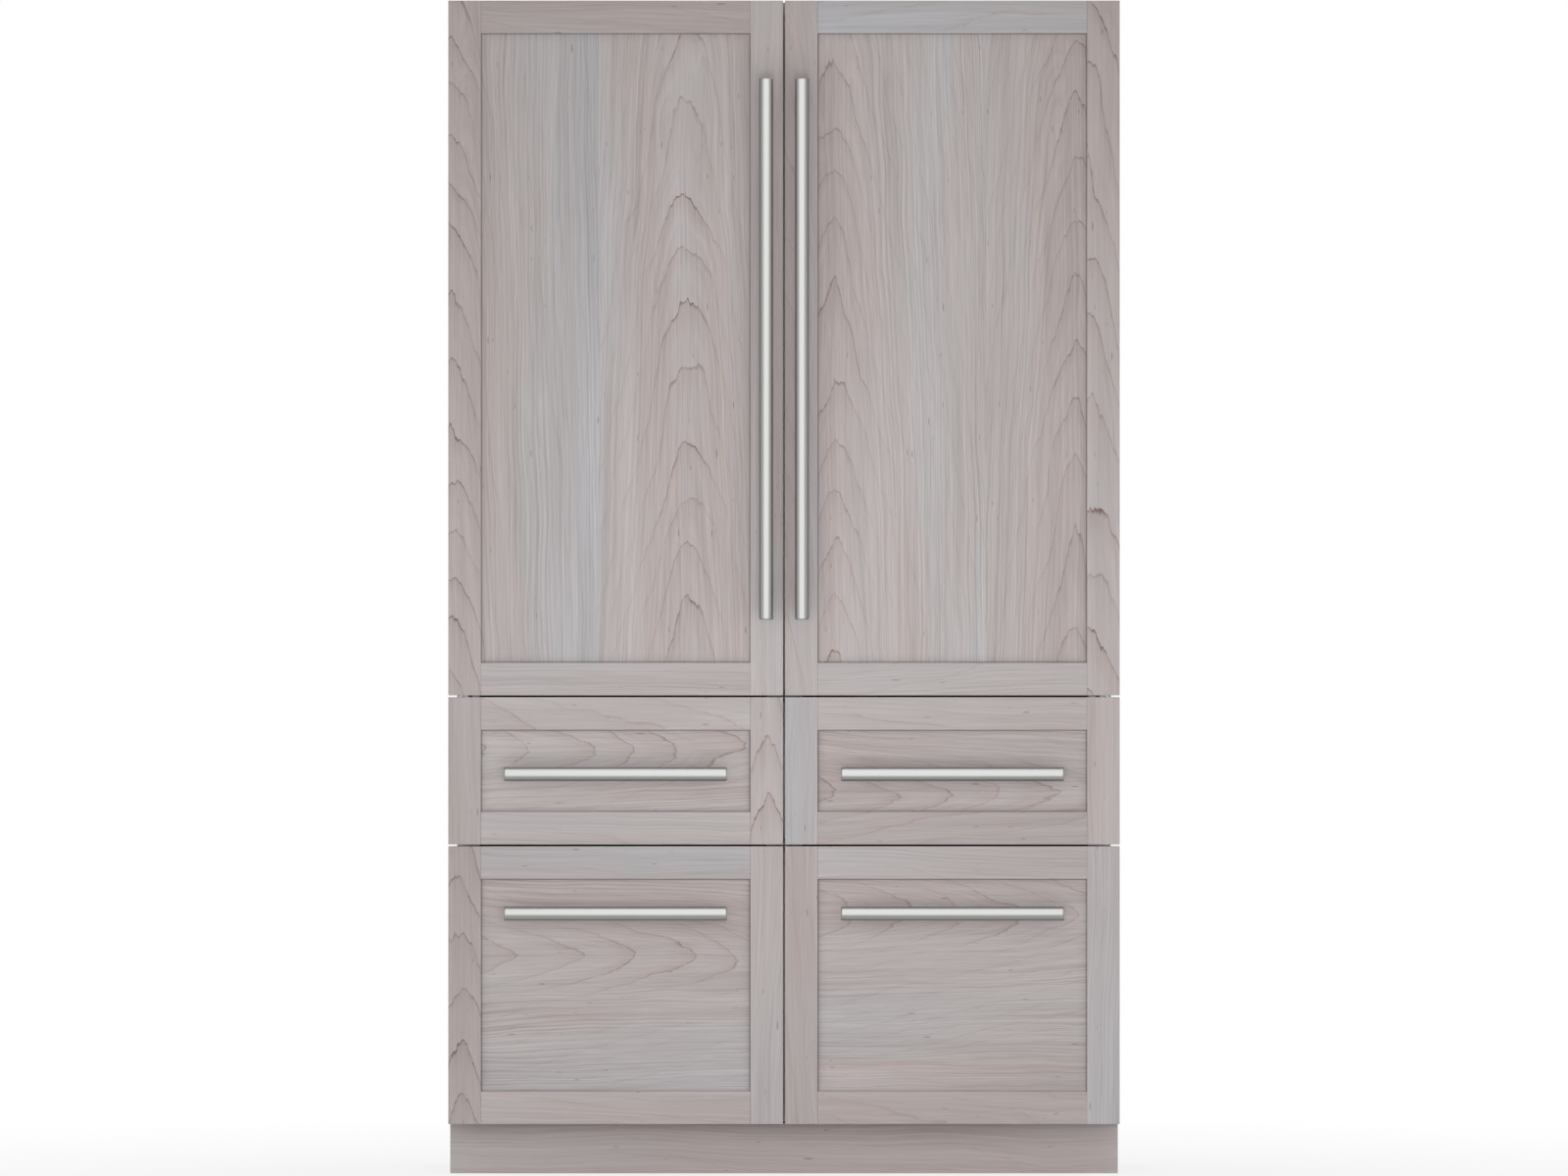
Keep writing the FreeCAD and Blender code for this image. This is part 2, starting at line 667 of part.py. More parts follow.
def make_insulation():
    """Foam between the shell and the liners."""
    y = inset(("At.y_cabinet", "At.y_back"), "Dim.sheet_thickness")
    bulk = block("foam_bulk", INSIDE_WIDTH, y, ("At.z_cabinet", "At.z_top - Dim.sheet_thickness"))
    tools = [
        block("foam_fridge", LINER_WIDTH, LINER_REACH, FRIDGE_HEIGHT),
        block("foam_machine", INSIDE_WIDTH, ("At.y_machine", "At.y_back"), ("At.z_cabinet", "At.z_machine")),
        block("foam_upper_rail", LINER_WIDTH, MULLION_REACH, CHILL_HEIGHT[1:] + FRIDGE_HEIGHT[:1]),
        block("foam_lower_rail", LINER_WIDTH, MULLION_REACH, FREEZER_HEIGHT[1:] + CHILL_HEIGHT[:1]),
        block("foam_bottom_rail", LINER_WIDTH, MULLION_REACH, ("At.z_cabinet", "At.z_freezer_floor")),
        block("foam_chill_post", POST_WIDTH, MULLION_REACH, CHILL_HEIGHT),
        block("foam_freezer_post", POST_WIDTH, MULLION_REACH, FREEZER_HEIGHT),
    ]
    for _, side in SIDES:
        x = drawer_width(side)
        tools.append(block("foam_chill", x, LINER_REACH, CHILL_HEIGHT))
        tools.append(block("foam_freezer_upper", x, LINER_REACH, FREEZER_UPPER))
        tools.append(block("foam_freezer_lower", x, HUMP_REACH, FREEZER_HEIGHT))
    return keep(cut("cabinet_insulation", bulk, *tools))


def make_fridge_liner():
    """Open-fronted inner box of the refrigerator compartment."""
    return keep(shell("fridge_liner", LINER_WIDTH, LINER_REACH, FRIDGE_HEIGHT, "Dim.liner_wall", low_y=True))


def make_drawer_liners():
    """Four open-fronted inner boxes; the lower two step over the machine compartment."""
    wall = "Dim.liner_wall"
    liners = []
    for word, side in SIDES:
        x = drawer_width(side)
        liners.append(shell(f"chill_{word}_liner", x, LINER_REACH, CHILL_HEIGHT, wall, low_y=True))
        name = f"freezer_{word}_liner"
        outer = fuse(
            name + "_outer",
            block(name + "_upper", x, LINER_REACH, FREEZER_UPPER),
            block(name + "_lower", x, HUMP_REACH, FREEZER_HEIGHT),
        )
        hollow_x = inset(x, wall)
        upper_y = (f"At.y_cabinet - {wall}", f"At.y_liner - {wall}")
        lower_y = (f"At.y_cabinet - {wall}", f"At.y_hump - {wall}")
        hollow = fuse(
            name + "_hollow",
            block(name + "_hollow_upper", hollow_x, upper_y, inset(FREEZER_UPPER, wall)),
            block(name + "_hollow_lower", hollow_x, lower_y, inset(FREEZER_HEIGHT, wall)),
        )
        liners.append(cut(name, outer, hollow))
    return keep(group("drawer_liners", *liners))


def make_face_mullions():
    """Metal posts and rails across the cabinet's open front."""
    return keep(
        group(
            "face_mullions",
            block("fridge_post", POST_WIDTH, MULLION_REACH, FRIDGE_INSIDE),
            block("upper_rail", LINER_WIDTH, MULLION_REACH, ("At.z_upper_rail", "At.z_fridge_floor")),
            block("chill_post", POST_WIDTH, MULLION_REACH, CHILL_HEIGHT),
            block("lower_rail", LINER_WIDTH, MULLION_REACH, ("At.z_lower_rail", "At.z_chill_floor")),
            block("freezer_post", POST_WIDTH, MULLION_REACH, FREEZER_HEIGHT),
            block("bottom_rail", LINER_WIDTH, MULLION_REACH, ("At.z_cabinet", "At.z_freezer_floor")),
        )
    )


def shelf_height(number):
    """Underside of a shelf, counted from 1 at the bottom."""
    return f"At.z_fridge_floor + Dim.liner_wall + Dim.shelf_pitch * {number}"


def make_air_panel():
    """False back wall with rows of air slots above each shelf and at the fan."""
    x = inset(("-At.x_wall_outer", "At.x_wall_outer"), "Dim.air_panel_gap")
    y = from_low("At.y_air", "Dim.air_panel_thickness")
    panel = block("air_sheet", x, y, FRIDGE_INSIDE)
    slots = []
    for row in range(AIR_SLOT_ROWS):
        for number in range(SHELVES_PER_SIDE):
            height = f"{shelf_height(number + 1)} - Dim.air_slot_drop - Dim.air_slot_pitch * {row}"
            for _, side in SIDES:
                slot_x = about(signed(side, "At.x_liner / 2"), "Dim.air_slot_length")
                slots.append(block("air_slot", slot_x, y, about(height, "Dim.air_slot_width")))
        height = f"At.z_evaporator_fan + Dim.air_slot_pitch * ({row} - {AIR_SLOT_ROWS - 1} / 2)"
        slot_x = about("0", "Dim.air_slot_length")
        slots.append(block("fan_slot", slot_x, y, about(height, "Dim.air_slot_width")))
    return keep(cut("air_panel", panel, *slots))


def ladder_places():
    """Middle of each shelf ladder on X: two for the shelves of each side."""
    places = []
    for _, side in SIDES:
        places.append(signed(side, "Dim.shelf_center_gap + Dim.ladder_inset"))
        places.append(signed(side, "At.x_wall_outer - Dim.shelf_side_gap - Dim.ladder_inset"))
    return places


def make_shelf_supports():
    """Upright ladders on the air panel and the cantilever arms that carry the shelves."""
    tip = "At.y_shelf + Dim.arm_tip_gap"
    outline = (
        (tip, "0"),
        (tip, "-Dim.arm_tip_height"),
        ("At.y_ladder", "-Dim.arm_root_height"),
        ("At.y_ladder", "0"),
    )
    solids = []
    for x in ladder_places():
        ladder_z = inset(FRIDGE_INSIDE, "Dim.ladder_end_gap")
        ladder_x = about(x, "Dim.ladder_width")
        solids.append(block("shelf_ladder", ladder_x, ("At.y_ladder", "At.y_air"), ladder_z))
        for number in range(SHELVES_PER_SIDE):
            body = doc.addObject("PartDesign::Body", "shelf_arm")
            add_pad(body, polygon_sketch(body, "YZ_Plane", outline), "Dim.arm_thickness")
            solids.append(place(body, f"({x}) - Dim.arm_thickness / 2", "0", shelf_height(number + 1)))
    return keep(group("shelf_supports", *solids))


def make_glass_shelves():
    """Glass plates with rounded front corners, resting on the arms."""
    shelves = []
    for _, side in SIDES:
        x = span(side, "Dim.shelf_center_gap", "At.x_wall_outer - Dim.shelf_side_gap")
        for number in range(SHELVES_PER_SIDE):
            body = doc.addObject("PartDesign::Body", "glass_shelf")
            sketch = rectangle_sketch(body, "XY_Plane", x, ("At.y_shelf", "At.y_ladder"))
            plate = add_pad(body, sketch, "Dim.shelf_thickness")
            front = float(sketch.evalExpression("At.y_shelf")) + EDGE_SLACK

            def front_corner(edge):
                return edge.BoundBox.ZLength > EDGE_SLACK and edge.BoundBox.YMax < front

            rounded = body.newObject("PartDesign::Fillet", body.Name + "_corners")
            rounded.Base = (plate, edge_names(plate, front_corner))
            rounded.setExpression("Radius", "Dim.shelf_corner")
            shelves.append(place(body, "0", "0", shelf_height(number + 1)))
    return keep(group("glass_shelves", *shelves))


def make_control_panel():
    """Touch strip under the ceiling of the refrigerator compartment."""
    y = from_low("At.y_shelf", "Dim.control_depth")
    z = to_high(FRIDGE_INSIDE[1], "Dim.control_thickness")
    return keep(block("control_panel", about("0", "Dim.control_width"), y, z))


def make_light_strips():
    """Upright light strips on the two side walls."""
    y = about("At.y_cabinet + Dim.light_setback", "Dim.light_width")
    z = inset(FRIDGE_INSIDE, "Dim.light_end_gap")
    strips = []
    for word, side in SIDES:
        x = span(side, *to_high("At.x_wall_outer", "Dim.light_thickness"))
        strips.append(block(f"{word}_light", x, y, z))
    return keep(group("light_strips", *strips))


def make_hinge_brackets():
    """Angle brackets on the cabinet face, with an eye, a collar and a pin for each end of each door."""
    brackets = []
    for word, side in SIDES:
        x_pin = signed(side, "At.x_pin")
        arm_x = span(side, "At.x_pin - Dim.hinge_arm_outer", "At.x_pin + Dim.hinge_arm_inner")
        for end, plate, way in HINGES:
            name = f"{word}_{end}_hinge"
            plate_z = from_low(plate, "Dim.hinge_plate")
            if way > 0:
                leaf = "At.z_leaf_bottom"
                collar_z = (plate_z[1], f"{leaf} - Dim.collar_gap")
                pin_z = (plate_z[1], f"{leaf} + Dim.pin_length")
            else:
                leaf = "At.z_leaf_top"
                collar_z = (f"{leaf} + Dim.collar_gap", plate_z[0])
                pin_z = (f"{leaf} - Dim.pin_length", plate_z[0])
            leg_y = to_high("At.y_cabinet", "Dim.hinge_leg_thickness")
            solid = fuse(
                name + "_solid",
                block(name + "_arm", arm_x, ("At.y_pin", "At.y_cabinet"), plate_z),
                block(name + "_leg", arm_x, leg_y, from_low(plate, "Dim.hinge_leg_height")),
                rod(name + "_eye", "z", plate_z, "Dim.hinge_eye_radius", x=x_pin, y="At.y_pin"),
                rod(name + "_collar", "z", collar_z, "Dim.collar_radius", x=x_pin, y="At.y_pin"),
                rod(name + "_pin", "z", pin_z, "Dim.pin_radius", x=x_pin, y="At.y_pin"),
            )
            brackets.append(cut(name, solid, *screw_holes(name + "_hole", side, leg_y)))
    return keep(group("hinge_brackets", *brackets))


def make_hinge_screws():
    """Two screws through each hinge bracket into the cabinet flange."""
    face = "At.y_cabinet - Dim.hinge_leg_thickness"
    screws = []
    for _, side in SIDES:
        for x, z in hinge_screw_places(side):
            head_y = to_high(face, "Dim.screw_head_height")
            head = rod("screw_head", "y", head_y, "Dim.screw_head_radius", x=x, z=z)
            shank_y = (face, "At.y_cabinet + Dim.sheet_thickness")
            shank = rod("screw_shank", "y", shank_y, "Dim.screw_radius", x=x, z=z)
            screws.append(fuse("hinge_screw", head, shank))
    return keep(group("hinge_screws", *screws))


def channel(web, lip, half_height):
    """Outline of a C channel with its web and lips at the given distances from the wall."""
    sheet = "Dim.slide_sheet"
    web_back, web_front = web
    return (
        (web_back, f"-({half_height})"),
        (lip, f"-({half_height})"),
        (lip, f"-({half_height}) + {sheet}"),
        (web_front, f"-({half_height}) + {sheet}"),
        (web_front, f"({half_height}) - {sheet}"),
        (lip, f"({half_height}) - {sheet}"),
        (lip, half_height),
        (web_back, half_height),
    )


# The three nested members of a telescopic slide, from the wall to the drawer box.
SLIDE_OUTLINES = {
    "cabinet": channel(
        ("0", "Dim.slide_sheet"),
        "Dim.slide_thickness - 2 * Dim.slide_sheet",
        "Dim.slide_height / 2",
    ),
    "middle": channel(
        ("Dim.slide_sheet + Dim.slide_clearance", "2 * Dim.slide_sheet + Dim.slide_clearance"),
        "Dim.slide_thickness - Dim.slide_sheet - Dim.slide_clearance",
        "Dim.slide_height / 2 - Dim.slide_sheet - Dim.slide_clearance",
    ),
    "drawer": channel(
        ("Dim.slide_thickness", "Dim.slide_thickness - Dim.slide_sheet"),
        "2 * (Dim.slide_sheet + Dim.slide_clearance)",
        "Dim.slide_height / 2 - 2 * (Dim.slide_sheet + Dim.slide_clearance)",
    ),
}

HALF_TURN = FreeCAD.Rotation(FreeCAD.Vector(0, 0, 1), 180)


def slide_members(member, side, height):
    """The pair of slide members of one kind for one drawer."""
    pair = []
    walls = (("At.x_wall_inner", side), ("At.x_wall_outer", -side))
    for wall, opens in walls:
        body = doc.addObject("PartDesign::Body", f"{member}_slide")
        sketch = polygon_sketch(body, "XZ_Plane", SLIDE_OUTLINES[member])
        add_pad(body, sketch, "At.slide_length", reversed_way=opens > 0)
        turn = None if opens > 0 else HALF_TURN
        pair.append(place(body, signed(side, wall), "At.y_slide", height, turn))
    return pair


def make_cabinet_rails():
    """Outer slide members on the walls of the drawer liners."""
    rails = []
    for row in DRAWER_ROWS:
        for _, side in SIDES:
            rails.extend(slide_members("cabinet", side, row["slide"]))
    return keep(group("cabinet_rails", *rails))


def make_wood_front(name, side, z):
    """Shaker front: stiles from top to bottom, rails tongued between them, and a panel in the grooves."""
    stile = "Dim.stile_width"
    groove = "Dim.groove_depth"
    tongue = "Dim.groove_depth - Dim.joint_clearance"
    y = ("At.y_face", "At.y_wood")
    panel_y = from_low("At.y_panel", "Dim.panel_thickness")
    groove_y = inset(panel_y, "-Dim.joint_clearance")
    inner, outer = "Dim.center_gap / 2", "At.half_width"
    opening = (f"{inner} + {stile}", f"{outer} - {stile}")
    boards = []
    for edge, stile_x, groove_x in (
        ("inner", from_low(inner, stile), to_high(opening[0], groove)),
        ("outer", to_high(outer, stile), from_low(opening[1], groove)),
    ):
        board = block(f"{name}_{edge}_board", span(side, *stile_x), y, z)
        slot = block(f"{name}_{edge}_slot", span(side, *groove_x), groove_y, z)
        boards.append(cut(f"{name}_{edge}_stile", board, slot))
    rail_x = span(side, *opening)
    tongue_x = span(side, *inset(opening, f"-({tongue})"))
    slot_x = span(side, *inset(opening, f"-({groove})"))
    for edge, rail_z, groove_z in (
        ("low", from_low(z[0], stile), to_high(f"{z[0]} + {stile}", groove)),
        ("high", to_high(z[1], stile), from_low(f"{z[1]} - {stile}", groove)),
    ):
        board = block(f"{name}_{edge}_board", rail_x, y, rail_z)
        tenon = block(f"{name}_{edge}_tenon", tongue_x, panel_y, rail_z)
        slot = block(f"{name}_{edge}_slot", slot_x, groove_y, groove_z)
        boards.append(cut(f"{name}_{edge}_rail", fuse(f"{name}_{edge}_tenoned", board, tenon), slot))
    panel_z = inset(z, f"{stile} - ({tongue})")
    boards.append(block(f"{name}_panel", tongue_x, panel_y, panel_z))
    return keep(group(f"{name}_wood_front", *boards))


def make_leaf(name, side, z, bores=()):
    """Insulated leaf behind a wooden front."""
    x = span(side, "At.x_leaf", "At.x_cabinet")
    y = ("At.y_wood", "At.y_leaf")
    if not bores:
        return keep(block(f"{name}_leaf", x, y, z))
    return keep(cut(f"{name}_leaf", block(f"{name}_slab", x, y, z), *bores))


def seal_width(side):
    """Outer width of a seal on one side."""
    return span(side, "At.x_seal_inner", "At.x_seal_outer")


def make_gasket(name, side, z):
    """Rubber seal round the back of a leaf."""
    y = ("At.y_leaf", "At.y_seal")
    return keep(ring(f"{name}_gasket", seal_width(side), y, inset(z, "Dim.gasket_inset"), "Dim.gasket_width"))


def make_handle(name, axis, length, centre, seat):
    """Round bar with chamfered ends on two posts that stand on the given face."""
    bar = doc.addObject("PartDesign::Body", f"{name}_bar")
    stock = add_pad(bar, circle_sketch(bar, "XY_Plane", "Dim.handle_diameter / 2"), length)
    eased = bar.newObject("PartDesign::Chamfer", f"{name}_bar_ends")
    eased.Base = (stock, edge_names(stock, lambda edge: edge.isClosed()))
    eased.setExpression("Size", "Dim.handle_chamfer")
    ends = about(centre[axis], length)
    start = {**centre, axis: ends[0]}
    place(bar, start["x"], "At.y_bar", start["z"], ROD_TURN[axis])
    posts = []
    for reach in (f"({ends[0]}) + Dim.post_inset", f"({ends[1]}) - Dim.post_inset"):
        at = {**centre, axis: reach}
        post_y = ("At.y_bar", seat)
        post = rod(f"{name}_post_stock", "y", post_y, "Dim.post_diameter / 2", x=at["x"], z=at["z"])
        saddle_along = about(reach, "Dim.post_diameter * 2")
        across = {key: value for key, value in (*centre.items(), ("y", "At.y_bar")) if key != axis}
        saddle_radius = "Dim.handle_diameter / 2 + Dim.joint_clearance"
        saddle = rod(f"{name}_saddle", axis, saddle_along, saddle_radius, **across)
        posts.append(cut(f"{name}_post", post, saddle))
    return keep(group(f"{name}_handle", bar, *posts))


def make_door(word, side):
    """One upper door: front, leaf with hinge bores, inner liner, seal, bins and handle."""
    name = f"{word}_door"
    z = ("At.z_door_low", "Dim.overall_height")
    leaf_z = ("At.z_leaf_bottom", "At.z_leaf_top")
    make_wood_front(name, side, z)
    bore_depth = "Dim.pin_length + Dim.pin_end_gap"
    bore_radius = "Dim.pin_radius + Dim.pin_clearance"
    bores = []
    for bore_z in (from_low(leaf_z[0], bore_depth), to_high(leaf_z[1], bore_depth)):
        bores.append(rod(f"{name}_bore", "z", bore_z, bore_radius, x=signed(side, "At.x_pin"), y="At.y_pin"))
    make_leaf(name, side, leaf_z, bores)
    make_gasket(name, side, leaf_z)
    make_door_liner(name, side, leaf_z)
    make_bins(name, side)
    centre = {"x": signed(side, "At.x_handle")}
    centre["z"] = "Dim.overall_height - Dim.door_handle_drop - Dim.door_handle_length / 2"
    make_handle(name, "z", "Dim.door_handle_length", centre, "At.y_face")


# Distances across a door from the middle of the cabinet, for its liner, ridges and bins.
DOOR_LINER_WIDTH = inset(
    ("At.x_seal_inner", "At.x_seal_outer"),
    "Dim.gasket_width + Dim.liner_edge_gap",
)
RIDGE_INNER = from_low(
    "At.x_seal_inner + Dim.gasket_width + Dim.ridge_center_gap",
    "Dim.ridge_width",
)
RIDGE_OUTER = to_high(
    "At.x_seal_outer - Dim.gasket_width - Dim.ridge_side_gap",
    "Dim.ridge_width",
)


def make_door_liner(name, side, leaf_z):
    """Moulded sheet inside the seal, with two upright ridges that the bins hang between."""
    sheet_z = inset(leaf_z, "Dim.gasket_inset + Dim.gasket_width + Dim.liner_edge_gap")
    sheet_y = from_low("At.y_leaf", "Dim.door_liner_thickness")
    pieces = [block(f"{name}_liner_sheet", span(side, *DOOR_LINER_WIDTH), sheet_y, sheet_z)]
    ridge_y = from_low("At.y_leaf", "Dim.ridge_depth")
    ridge_z = inset(sheet_z, "Dim.ridge_end_gap")
    for ridge_x in (RIDGE_INNER, RIDGE_OUTER):
        pieces.append(block(f"{name}_ridge", span(side, *ridge_x), ridge_y, ridge_z))
    return keep(fuse(f"{name}_inner_liner", *pieces))


def make_bins(name, side):
    """Open-topped bins between the ridges of a door."""
    x = span(side, f"{RIDGE_INNER[1]} + Dim.bin_side_gap", f"{RIDGE_OUTER[0]} - Dim.bin_side_gap")
    y = from_low("At.y_leaf + Dim.door_liner_thickness", "Dim.bin_depth")
    bins = []
    for number in range(BINS_PER_DOOR):
        low = f"At.bin_floor + At.bin_pitch * {number}"
        bins.append(shell(f"{name}_bin", x, y, from_low(low, "Dim.bin_height"), "Dim.bin_wall", high_z=True))
    return keep(group(f"{name}_bins", *bins))


def tub_width(side):
    """Width of a drawer box between its slides."""
    return span(side, *inset(("At.x_wall_inner", "At.x_wall_outer"), "Dim.slide_thickness"))


def chill_tub(name, side):
    """Plain drawer box, open at the top."""
    z = from_low("At.z_chill_tub", "Dim.chill_tub_height")
    return shell(name, tub_width(side), ("At.y_leaf", "At.y_tub"), z, "Dim.tub_wall", high_z=True)


def freezer_tub(name, side):
    """Deep drawer box whose rear steps up over the machine compartment."""
    wall = "Dim.tub_wall"
    x = tub_width(side)
    top = "At.z_freezer_tub_top"
    outer = fuse(
        name + "_outer",
        block(name + "_deep", x, ("At.y_leaf", "At.y_tub_step"), ("At.z_freezer_tub", top)),
        block(name + "_shallow", x, ("At.y_leaf", "At.y_tub"), ("At.z_tub_step", top)),
    )
    over = f"{top} + {wall}"
    inside_x = inset(x, wall)
    deep_y = inset(("At.y_leaf", "At.y_tub_step"), wall)
    shallow_y = inset(("At.y_leaf", "At.y_tub"), wall)
    hollow = fuse(
        name + "_hollow",
        block(name + "_deep_hollow", inside_x, deep_y, (f"At.z_freezer_tub + {wall}", over)),
        block(name + "_shallow_hollow", inside_x, shallow_y, (f"At.z_tub_step + {wall}", over)),
    )
    return cut(name, outer, hollow)


TUBS = {"chill": chill_tub, "freezer": freezer_tub}


def make_drawer(row, word, side):
    """One drawer: front, leaf, seal, box with its slide members, middle slide members and handle."""
    name = f"{row['name']}_{word}"
    leaf_z = inset(row["front"], "Dim.leaf_edge_inset")
    make_wood_front(name, side, row["front"])
    make_leaf(name, side, leaf_z)
    make_gasket(name, side, leaf_z)
    tub = TUBS[row["name"]](f"{name}_tub", side)
    keep(group(f"{name}_box", tub, *slide_members("drawer", side, row["slide"])))
    keep(group(f"{name}_middle_slides", *slide_members("middle", side, row["slide"])))
    centre = {"x": signed(side, "At.x_front_middle"), "z": row["handle"]}
    make_handle(name, "x", "Dim.drawer_handle_length", centre, "At.y_panel")


def make_compressor():
    """Domed compressor can on a mounting plate."""
    body = doc.addObject("PartDesign::Body", "compressor")
    plate = rectangle_sketch(
        body,
        "XY_Plane",
        about("0", "Dim.compressor_plate_width"),
        about("0", "Dim.compressor_plate_depth"),
    )
    add_pad(body, plate, "Dim.compressor_plate_thickness")
    can = add_pad(body, circle_sketch(body, "XY_Plane", "Dim.compressor_radius"), "Dim.compressor_height")
    rim = float(body.evalExpression("Dim.compressor_height")) - EDGE_SLACK
    dome = body.newObject("PartDesign::Fillet", "compressor_dome")
    dome.Base = (can, edge_names(can, lambda edge: edge.BoundBox.ZMin > rim))
    dome.setExpression("Radius", "Dim.compressor_round")
    return keep(place(body, "At.x_compressor", "At.y_machine_middle", "At.z_cabinet"))


def make_coil(name, length, depth, height, x, y, z):
    """Finned block: upright slots cut from the front leave fins on a rear spine."""
    body = doc.addObject("PartDesign::Body", name)
    add_pad(body, rectangle_sketch(body, "XY_Plane", ("0", length), ("0", depth)), height)
    slot_x = from_low("Dim.fin_pitch - Dim.fin_slot", "Dim.fin_slot")
    slot = rectangle_sketch(body, "XY_Plane", slot_x, ("0", f"{depth} - Dim.fin_spine"))
    first = add_pocket_through(body, slot, reversed_way=True)
    doc.recompute()
    fins = body.newObject("PartDesign::LinearPattern", name + "_fins")
    fins.Originals = [first]
    fins.Direction = (origin_feature(body, "X_Axis"), [""])
    fins.setExpression("Occurrences", f"floor({length} / Dim.fin_pitch)")
    fins.setExpression("Length", f"Dim.fin_pitch * (floor({length} / Dim.fin_pitch) - 1)")
    body.Tip = fins
    return keep(place(body, x, y, z))


def make_condenser_coil():
    """Condenser on the base plate, beside its fan."""
    return make_coil(
        "condenser_coil",
        "Dim.condenser_length",
        "Dim.condenser_depth",
        "Dim.condenser_height",
        "At.x_condenser",
        "At.y_machine_middle - Dim.condenser_depth / 2",
        "At.z_cabinet",
    )


def make_evaporator_coil():
    """Evaporator against the rear wall of the liner, behind the air panel."""
    return make_coil(
        "evaporator_coil",
        "Dim.evaporator_length",
        "Dim.evaporator_depth",
        "Dim.evaporator_height",
        "-Dim.evaporator_length / 2",
        "At.y_liner - Dim.liner_wall - Dim.evaporator_depth",
        "At.z_fridge_floor + Dim.evaporator_lift",
    )


def make_fan_motors():
    """The two fan motors with their shafts; the lower one stands on a bracket on the base plate."""
    shaft_length = "Dim.hub_gap + Dim.hub_length"
    rear_wall = "At.y_liner - Dim.liner_wall"
    upper = {"x": "0", "z": "At.z_evaporator_fan"}
    upper_y = ("At.y_evaporator_motor", rear_wall)
    evaporator_motor = fuse(
        "evaporator_motor",
        rod("evaporator_can", "y", upper_y, "Dim.motor_radius", **upper),
        rod("evaporator_shaft", "y", to_high(upper_y[0], shaft_length), "Dim.shaft_radius", **upper),
    )
    lower = {"y": "At.y_machine_middle", "z": "At.z_condenser_fan"}
    lower_x = from_low("At.x_condenser_motor", "Dim.motor_length")
    bracket_x = from_low(lower_x[1], "Dim.motor_bracket")
    bracket_z = ("At.z_cabinet", "At.z_condenser_fan + Dim.motor_radius")
    bracket_y = about("At.y_machine_middle", "2 * Dim.motor_radius")
    condenser_motor = fuse(
        "condenser_motor",
        rod("condenser_can", "x", lower_x, "Dim.motor_radius", **lower),
        rod("condenser_shaft", "x", to_high(lower_x[0], shaft_length), "Dim.shaft_radius", **lower),
        block("condenser_bracket", bracket_x, bracket_y, bracket_z),
    )
    return keep(group("fan_motors", evaporator_motor, condenser_motor))


def make_fan(name, tip_radius, x, y, z, turn):
    """Fan rotor: hub, slanted blades in a ring and a bore that runs on the motor shaft."""
    body = doc.addObject("PartDesign::Body", name)
    add_pad(body, circle_sketch(body, "XY_Plane", "Dim.hub_radius"), "Dim.hub_length")
    half_sweep = "Dim.blade_sweep / 2"
    outline = (
        (f"-({half_sweep}) - Dim.blade_thickness", "Dim.blade_thickness"),
        (f"-({half_sweep})", "Dim.blade_thickness"),
        (f"{half_sweep} + Dim.blade_thickness", "Dim.hub_length - Dim.blade_thickness"),
        (half_sweep, "Dim.hub_length - Dim.blade_thickness"),
    )
    blade = add_pad(body, polygon_sketch(body, "YZ_Plane", outline), tip_radius)
    doc.recompute()
    blades = body.newObject("PartDesign::PolarPattern", name + "_blades")
    blades.Originals = [blade]
    blades.Axis = (origin_feature(body, "Z_Axis"), [""])
    blades.Angle = 360
    blades.Occurrences = FAN_BLADES
    body.Tip = blades
    bore = circle_sketch(body, "XY_Plane", "Dim.shaft_radius + Dim.shaft_clearance")
    add_pocket_through(body, bore, reversed_way=True)
    return keep(place(body, x, y, z, turn))


def make_fans():
    """The two fan rotors on their motor shafts."""
    to_front = FreeCAD.Rotation(FreeCAD.Vector(1, 0, 0), 90)
    to_left = FreeCAD.Rotation(FreeCAD.Vector(0, 1, 0), -90)
    make_fan(
        "evaporator_fan",
        "Dim.evaporator_fan_radius",
        "0",
        "At.y_evaporator_motor - Dim.hub_gap",
        "At.z_evaporator_fan",
        to_front,
    )
    make_fan(
        "condenser_fan",
        "Dim.condenser_fan_radius",
        "At.x_condenser_motor - Dim.hub_gap",
        "At.y_machine_middle",
        "At.z_condenser_fan",
        to_left,
    )


def check_document():
    """Stop if an object failed or a sub-part has no valid solid."""
    for item in doc.Objects:
        if {"Invalid", "Error"} & set(item.State):
            raise RuntimeError(f"{item.Name} failed: {item.State}")
    for item in sub_parts:
        if item.Shape.isNull() or not item.Shape.isValid() or not item.Shape.Solids:
            raise RuntimeError(f"{item.Label} has no valid solid")


def write_parts():
    """Write each sub-part to a file of its own name."""
    os.makedirs("parts", exist_ok=True)
    for item in sub_parts:
        item.Shape.exportStep(f"parts/{item.Label}.step")


make_side_panels()
make_top_panel()
make_back_panel()
make_base_frame()
make_leveling_feet()
make_toe_kick()
make_insulation()
make_fridge_liner()
make_drawer_liners()
make_face_mullions()
make_air_panel()
make_shelf_supports()
make_glass_shelves()
make_control_panel()
make_light_strips()
make_hinge_brackets()
make_hinge_screws()
make_cabinet_rails()
for door_word, door_side in SIDES:
    make_door(door_word, door_side)
for drawer_row in DRAWER_ROWS:
    for drawer_word, drawer_side in SIDES:
        make_drawer(drawer_row, drawer_word, drawer_side)
make_compressor()
make_condenser_coil()
make_evaporator_coil()
make_fan_motors()
make_fans()

doc.recompute()
check_document()
write_parts()
print(f"{len(sub_parts)} sub-parts, {sum(len(item.Shape.Solids) for item in sub_parts)} solids")
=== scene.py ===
import json
import math
from collections import namedtuple
from functools import reduce

